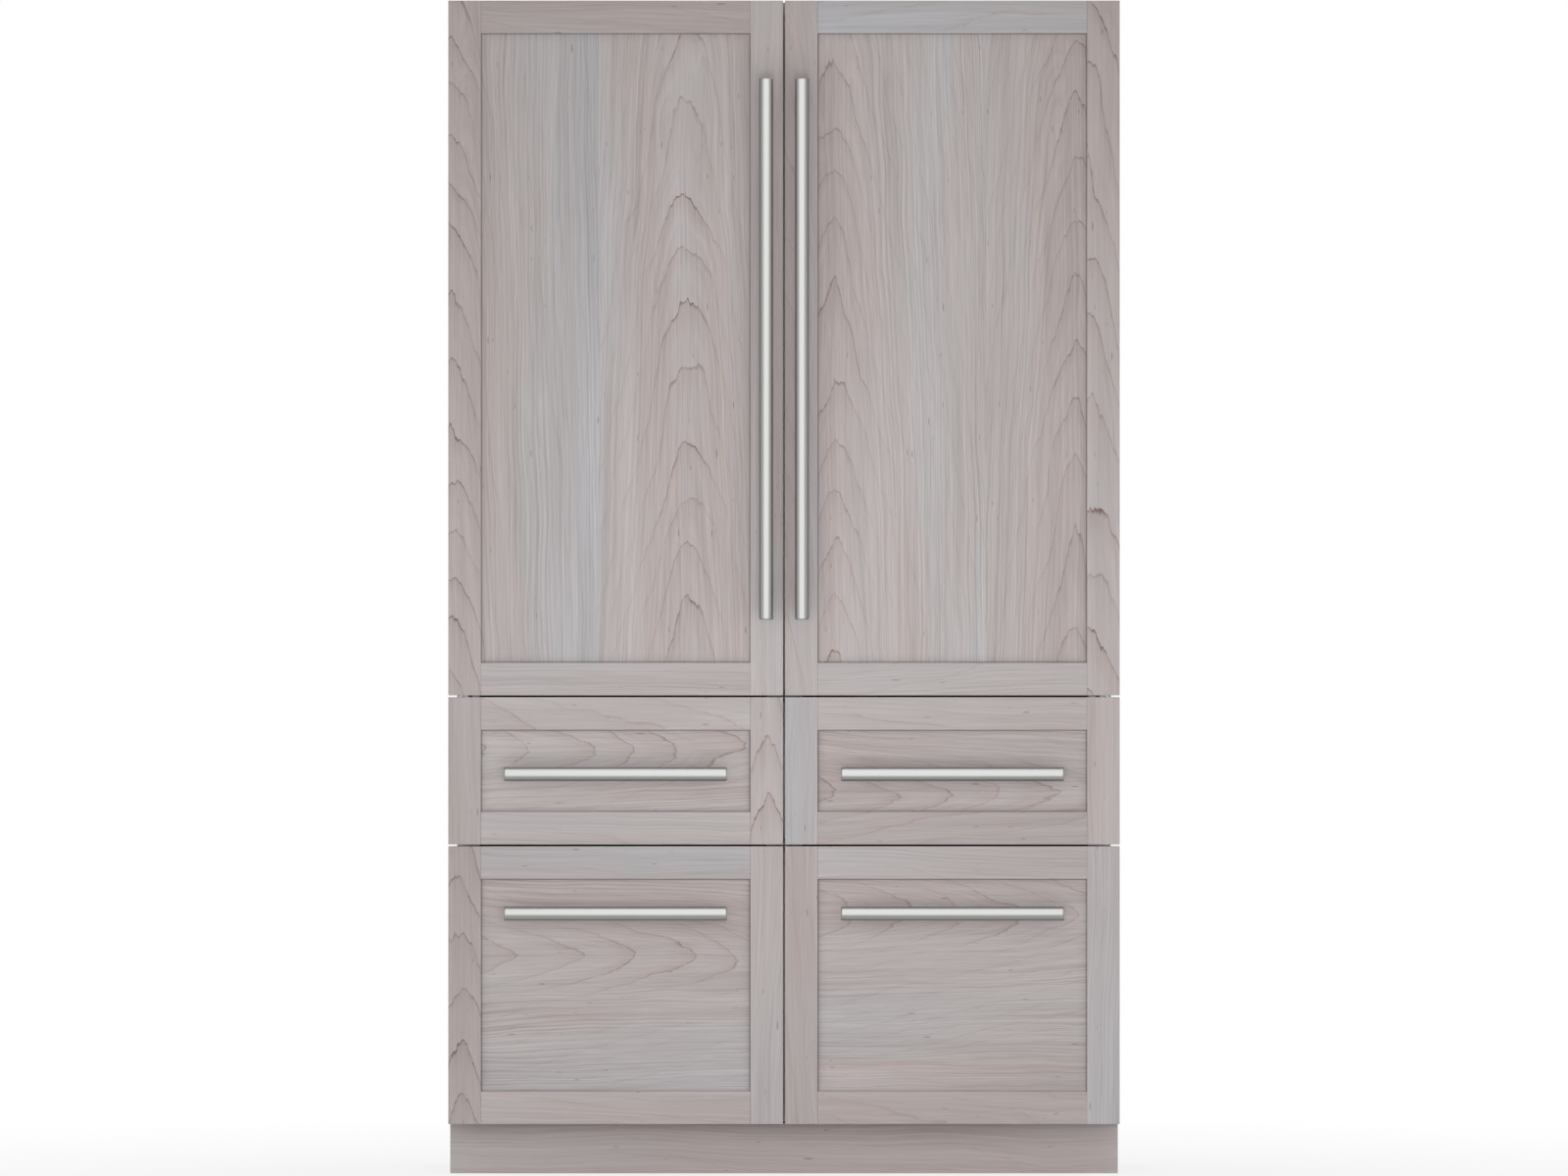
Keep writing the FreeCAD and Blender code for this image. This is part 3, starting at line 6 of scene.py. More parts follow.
import bpy
import numpy as np
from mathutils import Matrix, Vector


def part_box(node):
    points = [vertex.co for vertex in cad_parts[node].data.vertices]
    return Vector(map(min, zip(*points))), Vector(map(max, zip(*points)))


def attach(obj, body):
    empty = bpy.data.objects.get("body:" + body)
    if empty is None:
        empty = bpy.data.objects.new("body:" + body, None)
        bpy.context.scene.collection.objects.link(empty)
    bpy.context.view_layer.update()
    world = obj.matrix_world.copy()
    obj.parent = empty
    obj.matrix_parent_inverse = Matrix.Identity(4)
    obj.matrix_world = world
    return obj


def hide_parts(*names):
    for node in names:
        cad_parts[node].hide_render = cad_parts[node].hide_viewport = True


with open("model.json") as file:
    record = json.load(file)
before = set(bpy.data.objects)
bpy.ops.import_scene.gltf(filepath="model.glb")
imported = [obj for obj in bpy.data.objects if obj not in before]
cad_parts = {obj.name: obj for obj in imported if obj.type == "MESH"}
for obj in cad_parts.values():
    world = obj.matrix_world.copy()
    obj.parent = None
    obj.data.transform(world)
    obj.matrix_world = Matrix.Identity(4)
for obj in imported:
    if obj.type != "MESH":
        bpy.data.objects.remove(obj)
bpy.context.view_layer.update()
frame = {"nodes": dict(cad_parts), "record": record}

bl_info = {
    "name": "Built-in bottom freezer refrigerator",
    "version": (1, 0, 0),
    "blender": (4, 5, 0),
    "location": "View3D > Sidebar > Refrigerator",
    "description": "Dresses the packed refrigerator in washed maple, satin steel and moulded plastic",
    "category": "Object",
}

NODES = frame["nodes"]
FULL_TURN = 2 * math.pi
MILLIMETRES = 1000
X, Y, Z = range(3)
AXIS_X, AXIS_Y, AXIS_Z = np.eye(3)
SIDES = ("left", "right")
DOORS = tuple(f"{side}_door" for side in SIDES)
DRAWERS = tuple(f"{row}_{side}" for row in ("chill", "freezer") for side in SIDES)
FRONTS = (*DOORS, *DRAWERS)


def linear(red, green, blue):
    """Linear colour of three display values from 0 to 255."""
    shares = np.array((red, green, blue)) / 255
    curved = np.where(shares <= 0.04045, shares / 12.92, ((shares + 0.055) / 1.055) ** 2.4)
    return tuple(curved.tolist())


def body_name(front):
    """The body that carries a door or drawer front."""
    return front if front in DOORS else f"{front}_drawer"


# A board of the fronts: place of the tree's heart across the board and under its face, in millimetres,
# taper of the tree along the grain, blue share at the board's low and high edge, and tone.
Board = namedtuple("Board", "heart_across heart_depth taper blue_low blue_high tone")
FRAME_BOARDS = {
    "left_door": {
        "outer": Board(-27, 60, 0.085, -0.25, 0.0, 0.94),
        "inner": Board(190, 120, 0.03, 0.4, 0.25, 1.00),
        "low": Board(-170, 150, 0.03, 0.4, 0.4, 0.96),
        "high": Board(-120, 160, 0.035, 0.05, 0.15, 0.90),
    },
    "right_door": {
        "outer": Board(-26, 82, 0.06, 0.2, 0.3, 0.99),
        "inner": Board(-60, 85, 0.06, 0.25, 0.4, 0.98),
        "low": Board(150, 160, 0.03, 0.4, 0.5, 0.98),
        "high": Board(130, 170, 0.03, 0.85, 0.9, 1.00),
    },
    "chill_left": {
        "outer": Board(-210, 170, 0.03, 0.35, 0.25, 0.89),
        "inner": Board(7, 80, 0.075, 0.35, 0.4, 0.99),
        "low": Board(-160, 150, 0.03, 0.45, 0.45, 0.96),
        "high": Board(-48, 105, 0.06, 0.4, 0.3, 0.98),
    },
    "chill_right": {
        "outer": Board(150, 140, 0.03, 0.25, 0.3, 0.98),
        "inner": Board(210, 190, 0.03, 0.75, 0.7, 0.94),
        "low": Board(75, 120, 0.045, 0.15, 0.3, 0.88),
        "high": Board(-140, 170, 0.03, 0.35, 0.45, 0.98),
    },
    "freezer_left": {
        "outer": Board(-4, 60, 0.08, -0.25, -0.15, 0.86),
        "inner": Board(170, 150, 0.03, 0.42, 0.47, 0.96),
        "low": Board(-120, 140, 0.04, 0.17, 0.27, 0.96),
        "high": Board(-190, 160, 0.03, 0.45, 0.85, 0.91),
    },
    "freezer_right": {
        "outer": Board(240, 190, 0.03, 0.68, 0.72, 0.97),
        "inner": Board(-95, 110, 0.03, 0.17, 0.27, 0.89),
        "low": Board(-65, 105, 0.05, 0.0, 0.1, 0.92),
        "high": Board(-150, 150, 0.035, 0.3, 0.45, 0.94),
    },
}

# Staves glued side by side in each panel: where the stave starts and ends across the panel, then its board.
PANEL_STAVES = {
    "left_door": (
        (0.0, 0.44, Board(-190, 120, 0.03, 0.1, 0.95, 0.97)),
        (0.44, 1.0, Board(13, 70, 0.076, 0.38, 0.2, 1.00)),
    ),
    "right_door": (
        (0.0, 0.62, Board(-117, 70, 0.076, 0.1, 0.55, 1.02)),
        (0.62, 1.0, Board(65, 70, 0.072, 0.25, 0.0, 0.96)),
    ),
    "chill_left": ((0.0, 1.0, Board(43, 62, 0.09, 0.4, 0.3, 1.00)),),
    "chill_right": ((0.0, 1.0, Board(-39, 62, 0.09, 0.1, 0.28, 0.94)),),
    "freezer_left": ((0.0, 1.0, Board(53, 66, 0.09, 0.65, 0.05, 0.94)),),
    "freezer_right": (
        (0.0, 0.167, Board(-160, 130, 0.03, 0.17, 0.22, 0.96)),
        (0.167, 1.0, Board(98, 66, 0.085, 0.6, 0.12, 0.95)),
    ),
}
TOE_BOARD = Board(-130, 140, 0.02, 0.15, 0.2, 0.95)

# Seeds of the grain: from one front to the next, of its first frame board and first stave, of the toe board.
SEED_STEP, FRAME_SEED, PANEL_SEED, TOE_SEED = 11.0, 1, 6, 71.0

# How strong streaks and ring lines are in each kind of board. A flame is a stile that holds its heart.
FIGURE = {
    "frame": (0.85, 0.45),
    "flame": (0.90, 1.35),
    "toe": (0.85, 0.30),
    "door": (1.28, 0.98),
    "drawer": (1.28, 0.82),
}

# Noise in the maple: rates along, across and into the board, octaves, roughness, and a shift of the seed.
Pattern = namedtuple("Pattern", "along across depth detail roughness shift")
MAPLE_PATTERNS = {
    "sway": Pattern(2.6, 7.0, 7.0, 2.0, 0.5, 0.0),
    "jag": Pattern(14.0, 95.0, 95.0, 2.5, 0.55, 0.0),
    "patch": Pattern(9.0, 45.0, 1.0, 2.0, 0.5, 0.0),
    "ringed": Pattern(1.5, 350.0, 1.0, 4.0, 0.6, 0.0),
    "fibred": Pattern(1.7, 230.0, 230.0, 4.0, 0.6, 0.0),
    "pore": Pattern(14.0, 520.0, 520.0, 2.0, 0.5, 0.0),
    "cloud": Pattern(1.1, 11.0, 1.0, 2.0, 0.5, 7.0),
    "broad": Pattern(1.3, 34.0, 1.0, 2.0, 0.5, 5.0),
    "fleck": Pattern(34.0, 230.0, 230.0, 0.0, 0.5, 3.0),
}

# How one measure of the maple turns into another: from low and high, to low and high.
MAPLE_SPANS = {
    "flat_sawn": (0.2, 0.75, 1.0, 0.14),  # lean of the rings to strength of their lines
    "rise": (0.3, 0.95, 1.0, 0.3),  # lean of the rings to pull of the taper on the streaks
    "calm": (0.0, 1.0, 0.2, 0.8),  # fibres to the quieter streaks of flat-sawn wood
    "strength": (0.0, 1.0, 0.4, 1.0),  # chance to strength of one ring
    "patch": (0.38, 0.60, 0.45, 1.0),  # noise to strength along a line
    "line": (0.0008, 0.0036, 1.0, 0.0),  # metres before the end of a ring to its dark line
    "rim": (0.0003, 0.0030, 0.44, 1.0),  # metres from the sides and top of an opening to painted shade, a dark line
    "sill": (0.0003, 0.0030, 0.78, 1.0),  # metres from the bottom of an opening to fainter painted shade, as under light from above
    "corner": (0.0, 0.018, 0.91, 1.0),  # metres from any edge of an opening to soft painted shade
    "spots": (0.78, 0.82, 0.0, 0.55),  # noise to dark flecks
}
# How far noise moves the streaks, the ring lines and the fibres, in metres.
STREAK_SWAY, LINE_SWAY, LINE_JAG, FIBRE_SWAY = 0.034, 0.026, 0.0030, 0.03
# Share of the side that an arch reaches, the slope of its flanks and the power that points it.
ARCH_REACH, ARCH_FLANK, ARCH_POWER = 0.45, 0.2, 1.5
# Shares of pores, broad bands, clouds and blush in the tone, and of clouds and blush in the blue.
PORE_TONE, BROAD_TONE, CLOUD_TONE, BLUSH_TONE = 0.3, 0.30, 0.22, -0.14
CLOUD_BLUE, BLUSH_BLUE, BLUSH_POWER = 1.6, -0.7, 3.0
# Shares of pores and lines in the height of the surface.
PORE_HEIGHT, LINE_HEIGHT = 0.6, -0.8

# Finishes with fine grain: grains in a metre, spread of the tone, lowest and highest roughness, height of the
# grain in metres, and how it is drawn out along each axis.
Finish = namedtuple("Finish", "grain spread smooth rough height stretch", defaults=((1, 1, 1),))
FINISHES = {
    "seal_rubber": Finish(900.0, 0.08, 0.55, 0.70, 0.00005),
    "trim_aluminium": Finish(500.0, 0.05, 0.26, 0.36, 0.00002, (0.02, 1, 1)),
    "screw_steel": Finish(900.0, 0.06, 0.30, 0.42, 0.00002),
    "leaf_skin": Finish(380.0, 0.05, 0.42, 0.55, 0.00008),
    "black_enamel": Finish(500.0, 0.12, 0.40, 0.55, 0.0001),
    "plated_steel": Finish(300.0, 0.06, 0.28, 0.42, 0.00003, (1, 0.05, 1)),
    "coil_aluminium": Finish(260.0, 0.08, 0.30, 0.45, 0.0, (1, 1, 0.05)),
    "fan_plastic": Finish(600.0, 0.10, 0.45, 0.60, 0.00005),
    "liner_plastic": Finish(700.0, 0.02, 0.28, 0.38, 0.00004),
    "air_panel_plastic": Finish(500.0, 0.03, 0.40, 0.52, 0.00008),
    "drawer_enamel": Finish(360.0, 0.03, 0.32, 0.44, 0.00006),
    "light_lens": Finish(240.0, 0.02, 0.35, 0.45, 0.0001),
}

# Lamps: place, aim, size, and the setting that holds the power.
REFLECTOR = "reflector_card"
LAMPS = {
    "front_lamp": ((0.0, -2.57, 0.83), (0.0, 0.0, 0.83), (4.4, 1.56), "front_power"),
    "far_lamp": ((0.0, -6.5, 0.7), (0.0, 0.0, 0.7), (1.2, 1.2), "far_power"),
    "low_lamp": ((0.0, -2.4, 0.11), (0.0, 0.0, 0.11), (4.4, 0.2), "low_power"),
    REFLECTOR: ((0.0, -1.1, 2.43), (0.0, -0.114, 2.266), (1.8, 4.88), "card_power"),
    "left_rear_lamp": ((-3.2, 2.6, 1.8), (0.0, 0.2, 1.0), (1.8, 1.8), "rear_power"),
    "right_rear_lamp": ((3.2, 2.6, 1.8), (0.0, 0.2, 1.0), (1.8, 1.8), "rear_power"),
}


def length(name, description, default):
    """A length that the user can change."""
    return bpy.props.FloatProperty(name=name, description=description, default=default, unit="LENGTH")


def power(name, description, default):
    """A lamp's power that the user can change."""
    return bpy.props.FloatProperty(name=name, description=description, default=default, unit="POWER")


def paint(name, description, *display):
    """A colour that the user can change, from its display values."""
    return bpy.props.FloatVectorProperty(
        name=name, description=description, subtype="COLOR", size=3, default=linear(*display))


class RefrigeratorSizes(bpy.types.PropertyGroup):
    """Sizes of the pieces that the scene makes."""

    stile_width: length("Stile width", "Width of the frame round each wooden front", 0.0593)
    panel_recess: length("Panel recess", "Depth of the panel below the face of its frame", 0.0095)
    panel_thickness: length("Panel thickness", "Thickness of the panel", 0.0065)
    groove_depth: length("Groove depth", "How far the panel goes into its frame", 0.010)
    groove_play: length("Groove play", "Room round the panel in its groove", 0.0001)
    edge_ease: length("Edge ease", "Radius of the eased edges of the boards", 0.0008)
    ring_pitch: length("Ring pitch", "Width of one growth ring", 0.0085)
    bar_chamfer: length("Bar chamfer", "Chamfer at the ends of the handle bars", 0.0015)
    bar_radius: length("Bar radius", "Radius of the handle bars", 0.0127)
    post_radius: length("Post radius", "Radius of the handle posts", 0.0075)
    post_inset: length("Post inset", "Distance of a post from the end of its bar", 0.052)
    hem: length("Hem", "Width of the folded hems of the shell", 0.014)
    cover_height: length("Cover height", "Top edge of the machine cover in the back", 0.44)
    screw_radius: length("Screw radius", "Radius of the screw heads in the back", 0.0045)
    trim_reach: length("Trim reach", "How far the trims reach over the shelves", 0.010)
    trim_wall: length("Trim wall", "Wall of the trims on the shelves", 0.0016)
    seal_width: length("Seal width", "Width of the seals behind the leaves", 0.016)
    lip_gap: length("Lip gap", "Gap between the two lips behind the middle gap", 0.0008)
    seal_corner: length("Seal corner", "Outer corner radius of the seals", 0.012)
    bin_wall: length("Bin wall", "Wall of the moulded door bins", 0.003)
    bin_corner: length("Bin corner", "Upright corner radius of the door bins", 0.016)


class RefrigeratorColors(bpy.types.PropertyGroup):
    """Colours of the finishes."""

    maple_pink: paint("Pink maple", "Warm tone of the washed maple", 178.5, 167, 163.5)
    maple_blue: paint("Blue maple", "Cool tone of the washed maple", 176, 175, 178)
    maple_line: paint("Ring line", "Dark edge of a growth ring", 112, 90, 84)
    bar_steel: paint("Handle steel", "Satin steel of the handles", 156, 156, 155)
    shell_gray: paint("Shell", "Painted sheet of the cabinet", 188, 190, 192)
    leaf_gray: paint("Leaf", "Skin of the insulated leaves", 126, 124, 122)
    liner_white: paint("Liner", "Moulded white of the inner liners", 232, 233, 231)
    seal_gray: paint("Seal", "Rubber of the seals", 208, 204, 199)
    zinc: paint("Zinc", "Plated steel of slides, hinges and feet", 196, 198, 200)
    enamel_black: paint("Black enamel", "Base frame and compressor", 38, 38, 40)


class StudioSettings(bpy.types.PropertyGroup):
    """Camera and light."""

    camera_distance: length("Camera distance", "From the wooden faces to the camera", 30.0)
    frame_width: length("Frame width", "Width of the picture at the wooden faces", 2.8473)
    camera_height: length("Camera height", "Height of the camera", 1.0669)
    front_power: power("Front power", "Power of the wide lamp in front", 25.0)
    far_power: power("Far power", "Power of the small lamp far in front", 56.0)
    low_power: power("Low power", "Power of the long lamp near the floor", 7.0)
    card_power: power("Card power", "Power of the card that shows in the metal alone", 38.6)
    rear_power: power("Rear power", "Power of each lamp behind", 58.0)
    fill: bpy.props.FloatProperty(name="Fill", description="Even light from all round", default=0.35)


def settings(context):
    """Sizes and colours of the scene."""
    return context.scene.refrigerator_sizes, context.scene.refrigerator_colors


def grid_quads(stations, around, closed=False):
    """Quads between neighbouring loops of a grid, by the numbers of their points. The loops run round, and
    the stations run in a ring too where the grid is closed."""
    rows = np.arange(stations if closed else stations - 1)[:, None]
    columns = np.arange(around)[None, :]
    following = (columns + 1) % around
    above = (rows + 1) % stations
    return np.stack([
        rows * around + columns, rows * around + following,
        above * around + following, above * around + columns], axis=-1).reshape(-1, 4)


class Shells:
    """Closed surfaces gathered into one mesh, with attributes at their points."""

    def __init__(self):
        self.points, self.quads, self.smooth, self.caps, self.attributes = [], [], [], [], {}
        self.count = 0

    def add(self, loops, closed=False, smooth_under=None, **attributes):
        """Skins a grid of loops, shape (stations, around, 3): neighbouring loops are joined by quads, and the
        first and last loops are closed by caps unless the stations themselves run in a ring. Quads narrower
        than smooth_under are shaded smooth, or all of them where it is None."""
        stations, around = loops.shape[:2]
        points = loops.reshape(-1, 3)
        quads = grid_quads(stations, around, closed)
        corner = points[quads]
        width = np.minimum(
            np.linalg.norm(corner[:, 1] - corner[:, 0], axis=1),
            np.linalg.norm(corner[:, 3] - corner[:, 0], axis=1))
        smooth = np.ones(len(quads), bool) if smooth_under is None else width < smooth_under
        first = np.arange(around)
        caps = [] if closed else [first[::-1], first + (stations - 1) * around]
        turn = 1 if self.volume(points, quads, None if closed else around) > 0 else -1
        self.points.append(points)
        self.quads.append(quads[:, ::turn] + self.count)
        self.caps += [cap[::turn] + self.count for cap in caps]
        self.smooth.append(smooth)
        for name, values in attributes.items():
            rows = np.broadcast_to(np.reshape(values, (-1, 3)), points.shape)
            self.attributes.setdefault(name, []).append(rows)
        self.count += len(points)

    @staticmethod
    def volume(points, quads, around):
        """Six times the signed volume within the quads and the two caps, as a sum over fans of triangles."""
        corner = points[quads] - points.mean(axis=0)
        total = np.einsum("ij,ij->", corner[:, 0], np.cross(corner[:, 1], corner[:, 2]))
        total += np.einsum("ij,ij->", corner[:, 0], np.cross(corner[:, 2], corner[:, 3]))
        if around:
            for loop, sign in ((points[:around], -1), (points[-around:], 1)):
                rim = loop - points.mean(axis=0)
                middle = rim.mean(axis=0)
                total += sign * np.sum(np.cross(rim, np.roll(rim, -1, axis=0)) @ middle)
        return total

    def build(self, name):
        """The gathered shells as one object at the origin."""
        mesh = bpy.data.meshes.new(name)
        faces = np.concatenate(self.quads).tolist() + [cap.tolist() for cap in self.caps]
        mesh.from_pydata(np.concatenate(self.points).tolist(), [], faces)
        smooth = np.concatenate([*self.smooth, np.zeros(len(self.caps), bool)])
        mesh.polygons.foreach_set("use_smooth", smooth)
        for key, values in self.attributes.items():
            layer = mesh.attributes.new(key, "FLOAT_VECTOR", "POINT")
            layer.data.foreach_set("vector", np.concatenate(values).astype(np.float32).ravel())
        mesh.update()
        piece = bpy.data.objects.new(name, mesh)
        bpy.context.scene.collection.objects.link(piece)
        return piece


def arc(middle, radius, start, stop, count=5):
    """Points on a circle about middle between two angles in degrees: middle + radius (cos, sin)."""
    angle = np.radians(np.linspace(start, stop, count))
    return np.stack([middle[0] + radius * np.cos(angle), middle[1] + radius * np.sin(angle)], axis=-1)


def round_angles(count):
    """Even angles once round a circle."""
    return np.linspace(0, FULL_TURN, count, endpoint=False)


def turned(angle, first, second):
    """Unit vectors at angles from one axis towards another: first cos + second sin."""
    return np.cos(angle)[:, None] * first + np.sin(angle)[:, None] * second


def points_from(*coordinates):
    """Points from arrays of their coordinates, spread to one shape."""
    return np.stack(np.broadcast_arrays(*coordinates), axis=-1)


def rounded_rectangle(half_x, half_y, radius, count=7):
    """Points round a rectangle with quarter-circle corners, counter-clockwise about its middle."""
    return np.concatenate([
        arc((sx * (half_x - radius), sy * (half_y - radius)), radius, start, start + 90, count)
        for sx, sy, start in ((1, 1, 0), (-1, 1, 90), (-1, -1, 180), (1, -1, 270))])


def inset_outline(outline, by):
    """A closed outline drawn in: each corner moves along the mitre of its two edges' normals."""
    shortest, sharpest = 1e-9, 0.2
    edge = np.roll(outline, -1, axis=0) - outline
    edge = edge / np.maximum(np.linalg.norm(edge, axis=1, keepdims=True), shortest)
    normal = np.stack([edge[:, 1], -edge[:, 0]], axis=-1)
    before = np.roll(normal, 1, axis=0)
    mitre = (normal + before) / np.maximum(1 + np.sum(normal * before, axis=1, keepdims=True), sharpest)
    return outline - by * mitre


def carried_board(outline, span, ease, origin, across, inward, along):
    """An outline (across, inward) carried along a straight path: loop = origin + a across + b inward + t
    along. The two ends are eased: over a quarter turn the outline draws in by a share of ease (1 - sin) as t
    grows by ease (1 - cos)."""
    end_share = 0.6
    turn = np.radians((0, 45, 90))
    draw = end_share * ease * (1 - np.sin(turn))
    reach = ease * (1 - np.cos(turn))
    insets = np.concatenate([draw, draw[::-1]])
    places = np.concatenate([reach, span - reach[::-1]])
    outlines = np.stack([inset_outline(outline, by) for by in insets])
    return (np.asarray(origin) + outlines[..., :1] * across + outlines[..., 1:] * inward
            + places[:, None, None] * np.asarray(along))


def frame_outline(sizes, depth):
    """Outline of a frame board, from its outer edge across and from its face inwards: two eased face corners,
    the groove for the panel in the inner edge, and a square back."""
    width, ease = sizes.stile_width, sizes.edge_ease
    low = sizes.panel_recess - sizes.groove_play
    high = sizes.panel_recess + sizes.panel_thickness + sizes.groove_play
    floor = width - sizes.groove_depth
    return np.concatenate([
        arc((ease, ease), ease, 180, 270), arc((width - ease, ease), ease, 270, 360),
        [(width, low), (floor, low), (floor, high), (width, high), (width, depth), (0, depth)]])


def slab_outline(width, depth):
    """Outline of a plain board: a rectangle from its low edge across and from its face inwards."""
    return np.array([(0, 0), (width, 0), (width, depth), (0, depth)])


def eased_outline(width, depth, ease):
    """Outline of a board with four eased corners."""
    return np.concatenate([
        arc((ease, ease), ease, 180, 270), arc((width - ease, ease), ease, 270, 360),
        arc((width - ease, depth - ease), ease, 0, 90), arc((ease, depth - ease), ease, 90, 180)])


def add_board(shells, outline, box, upright, from_high, board, seed, ease, figure, opening=None):
    """One board within a box: its outline stands across X and runs up Z, or stands up Z and runs along X. Its
    points carry their place in the board (along and across from its middle, and in from its face), the heart
    and taper of its tree, its seed, blue share and tone, how strong its figure is, and for a panel how far
    they lie from the left, right, lower and upper edges of its opening."""
    low, high = box
    runs, stands = (AXIS_Z, AXIS_X) if upright else (AXIS_X, AXIS_Z)
    sign = -1 if from_high else 1
    origin = low + (stands * (high - low) if from_high else 0)
    loops = carried_board(outline, float(runs @ (high - low)), ease, origin, sign * stands, AXIS_Y, runs)
    middle = (low + high) / 2
    points = loops.reshape(-1, 3)
    along, across = (points - middle) @ runs, (points - middle) @ stands
    share = np.clip(across / float(stands @ (high - low)) + 0.5, 0, 1)
    blue = board.blue_low + (board.blue_high - board.blue_low) * share
    sides, from_top = np.ones(3), 1.0
    if opening is not None:
        start, stop = opening
        x, z = points[:, 0], points[:, 2]
        sides = points_from(x - start[0], stop[0] - x, z - start[2])
        from_top = stop[2] - z
    shells.add(
        loops, smooth_under=2 * ease, sides=sides,
        grain=points_from(along, across, points[:, 1] - low[1]),
        tree=(board.heart_across / MILLIMETRES, board.heart_depth / MILLIMETRES, board.taper),
        board=points_from(seed, blue, board.tone), finish=points_from(from_top, *FIGURE[figure]))


class Graph:
    """A material or a world in the making: each method adds one node or a few and gives the output."""

    def __init__(self, owner):
        owner.use_nodes = True
        self.tree, self.nodes = owner.node_tree, owner.node_tree.nodes
        self.shader = self.nodes.get("Principled BSDF")

    def put(self, socket, value):
        """Link an output to a socket, or set the socket's own value."""
        if isinstance(value, bpy.types.NodeSocket):
            self.tree.links.new(value, socket)
        else:
            socket.default_value = value

    def set(self, **values):
        """Sockets of the shader, by their names with underscores."""
        for name, value in values.items():
            self.put(self.shader.inputs[name.replace("_", " ")], value)

    def add(self, kind, inputs, **options):
        """A node of a kind, with its options and with its inputs by their order or their names."""
        node = self.nodes.new(f"ShaderNode{kind}")
        for name, value in options.items():
            setattr(node, name, value)
        for key, value in inputs.items() if isinstance(inputs, dict) else enumerate(inputs):
            self.put(node.inputs[key], value)
        return node

    def math(self, operation, *values, clamp=False):
        return self.add("Math", values, operation=operation, use_clamp=clamp).outputs[0]

    def plus(self, *values):
        return reduce(lambda total, value: self.math("ADD", total, value), values)

    def times(self, *values):
        return reduce(lambda total, value: self.math("MULTIPLY", total, value), values)

    def largest(self, *values):
        return reduce(lambda total, value: self.math("MAXIMUM", total, value), values)

    def least(self, *values):
        return reduce(lambda total, value: self.math("MINIMUM", total, value), values)

    def minus(self, value, less):
        return self.math("SUBTRACT", value, less)

    def over(self, value, divisor):
        return self.math("DIVIDE", value, divisor)

    def root(self, value):
        return self.math("SQRT", value)

    def raised(self, value, exponent):
        return self.math("POWER", value, exponent)

    def absolute(self, value):
        return self.math("ABSOLUTE", value)

    def centred(self, noise):
        return self.minus(noise, 0.5)

    def attribute(self, name):
        return self.split(self.add("Attribute", (), attribute_name=name).outputs["Vector"])

    def place(self):
        return self.add("TexCoord", ()).outputs["Object"]

    def split(self, vector):
        return tuple(self.add("SeparateXYZ", (vector,)).outputs)

    def join(self, *values):
        return self.add("CombineXYZ", values).outputs[0]

    def stretched(self, vector, rates):
        return self.add("VectorMath", (vector, rates), operation="MULTIPLY").outputs[0]

    def scaled(self, color, factor):
        return self.add("VectorMath", {0: color, "Scale": factor}, operation="SCALE").outputs[0]

    def noise(self, vector, scale=1.0, detail=2.0, roughness=0.5, seed=None):
        inputs = {"Vector": vector, "Scale": scale, "Detail": detail, "Roughness": roughness}
        if seed is None:
            return self.add("TexNoise", inputs, noise_dimensions="3D").outputs[0]
        return self.add("TexNoise", {**inputs, "W": seed}, noise_dimensions="4D").outputs[0]

    def cells(self, vector, scale):
        return self.add("TexVoronoi", {"Vector": vector, "Scale": scale}).outputs["Distance"]

    def chance(self, value):
        return self.add("TexWhiteNoise", {"W": value}, noise_dimensions="1D").outputs["Value"]

    def span(self, value, low, high, new_low, new_high):
        return self.add("MapRange", (value, low, high, new_low, new_high)).outputs[0]

    def swing(self, noise, low, high):
        """The middle of a noise spread from low to high."""
        return self.span(noise, 0.3, 0.7, low, high)

    def mix(self, share, first, second):
        node = self.add("Mix", {"Factor": share}, data_type="RGBA")
        for name, color in (("A", first), ("B", second)):
            self.put(next(s for s in node.inputs if s.name == name and s.type == "RGBA"), color)
        return next(s for s in node.outputs if s.type == "RGBA")

    def seen(self):
        """1 for a ray from the camera, from metal or through glass, and 0 for any other."""
        path = self.add("LightPath", ()).outputs
        return self.largest(path["Is Camera Ray"], path["Is Glossy Ray"], path["Is Transmission Ray"])

    def bump(self, height, distance, strength):
        inputs = {"Height": height, "Distance": distance, "Strength": strength}
        self.set(Normal=self.add("Bump", inputs).outputs[0])


def opaque(color):
    """A colour with its alpha."""
    return (*color, 1.0)


def shades(color, dark, light):
    """A darker and a lighter tone of a colour, by two factors."""
    return tuple(opaque(min(1.0, factor * value) for value in color) for factor in (dark, light))


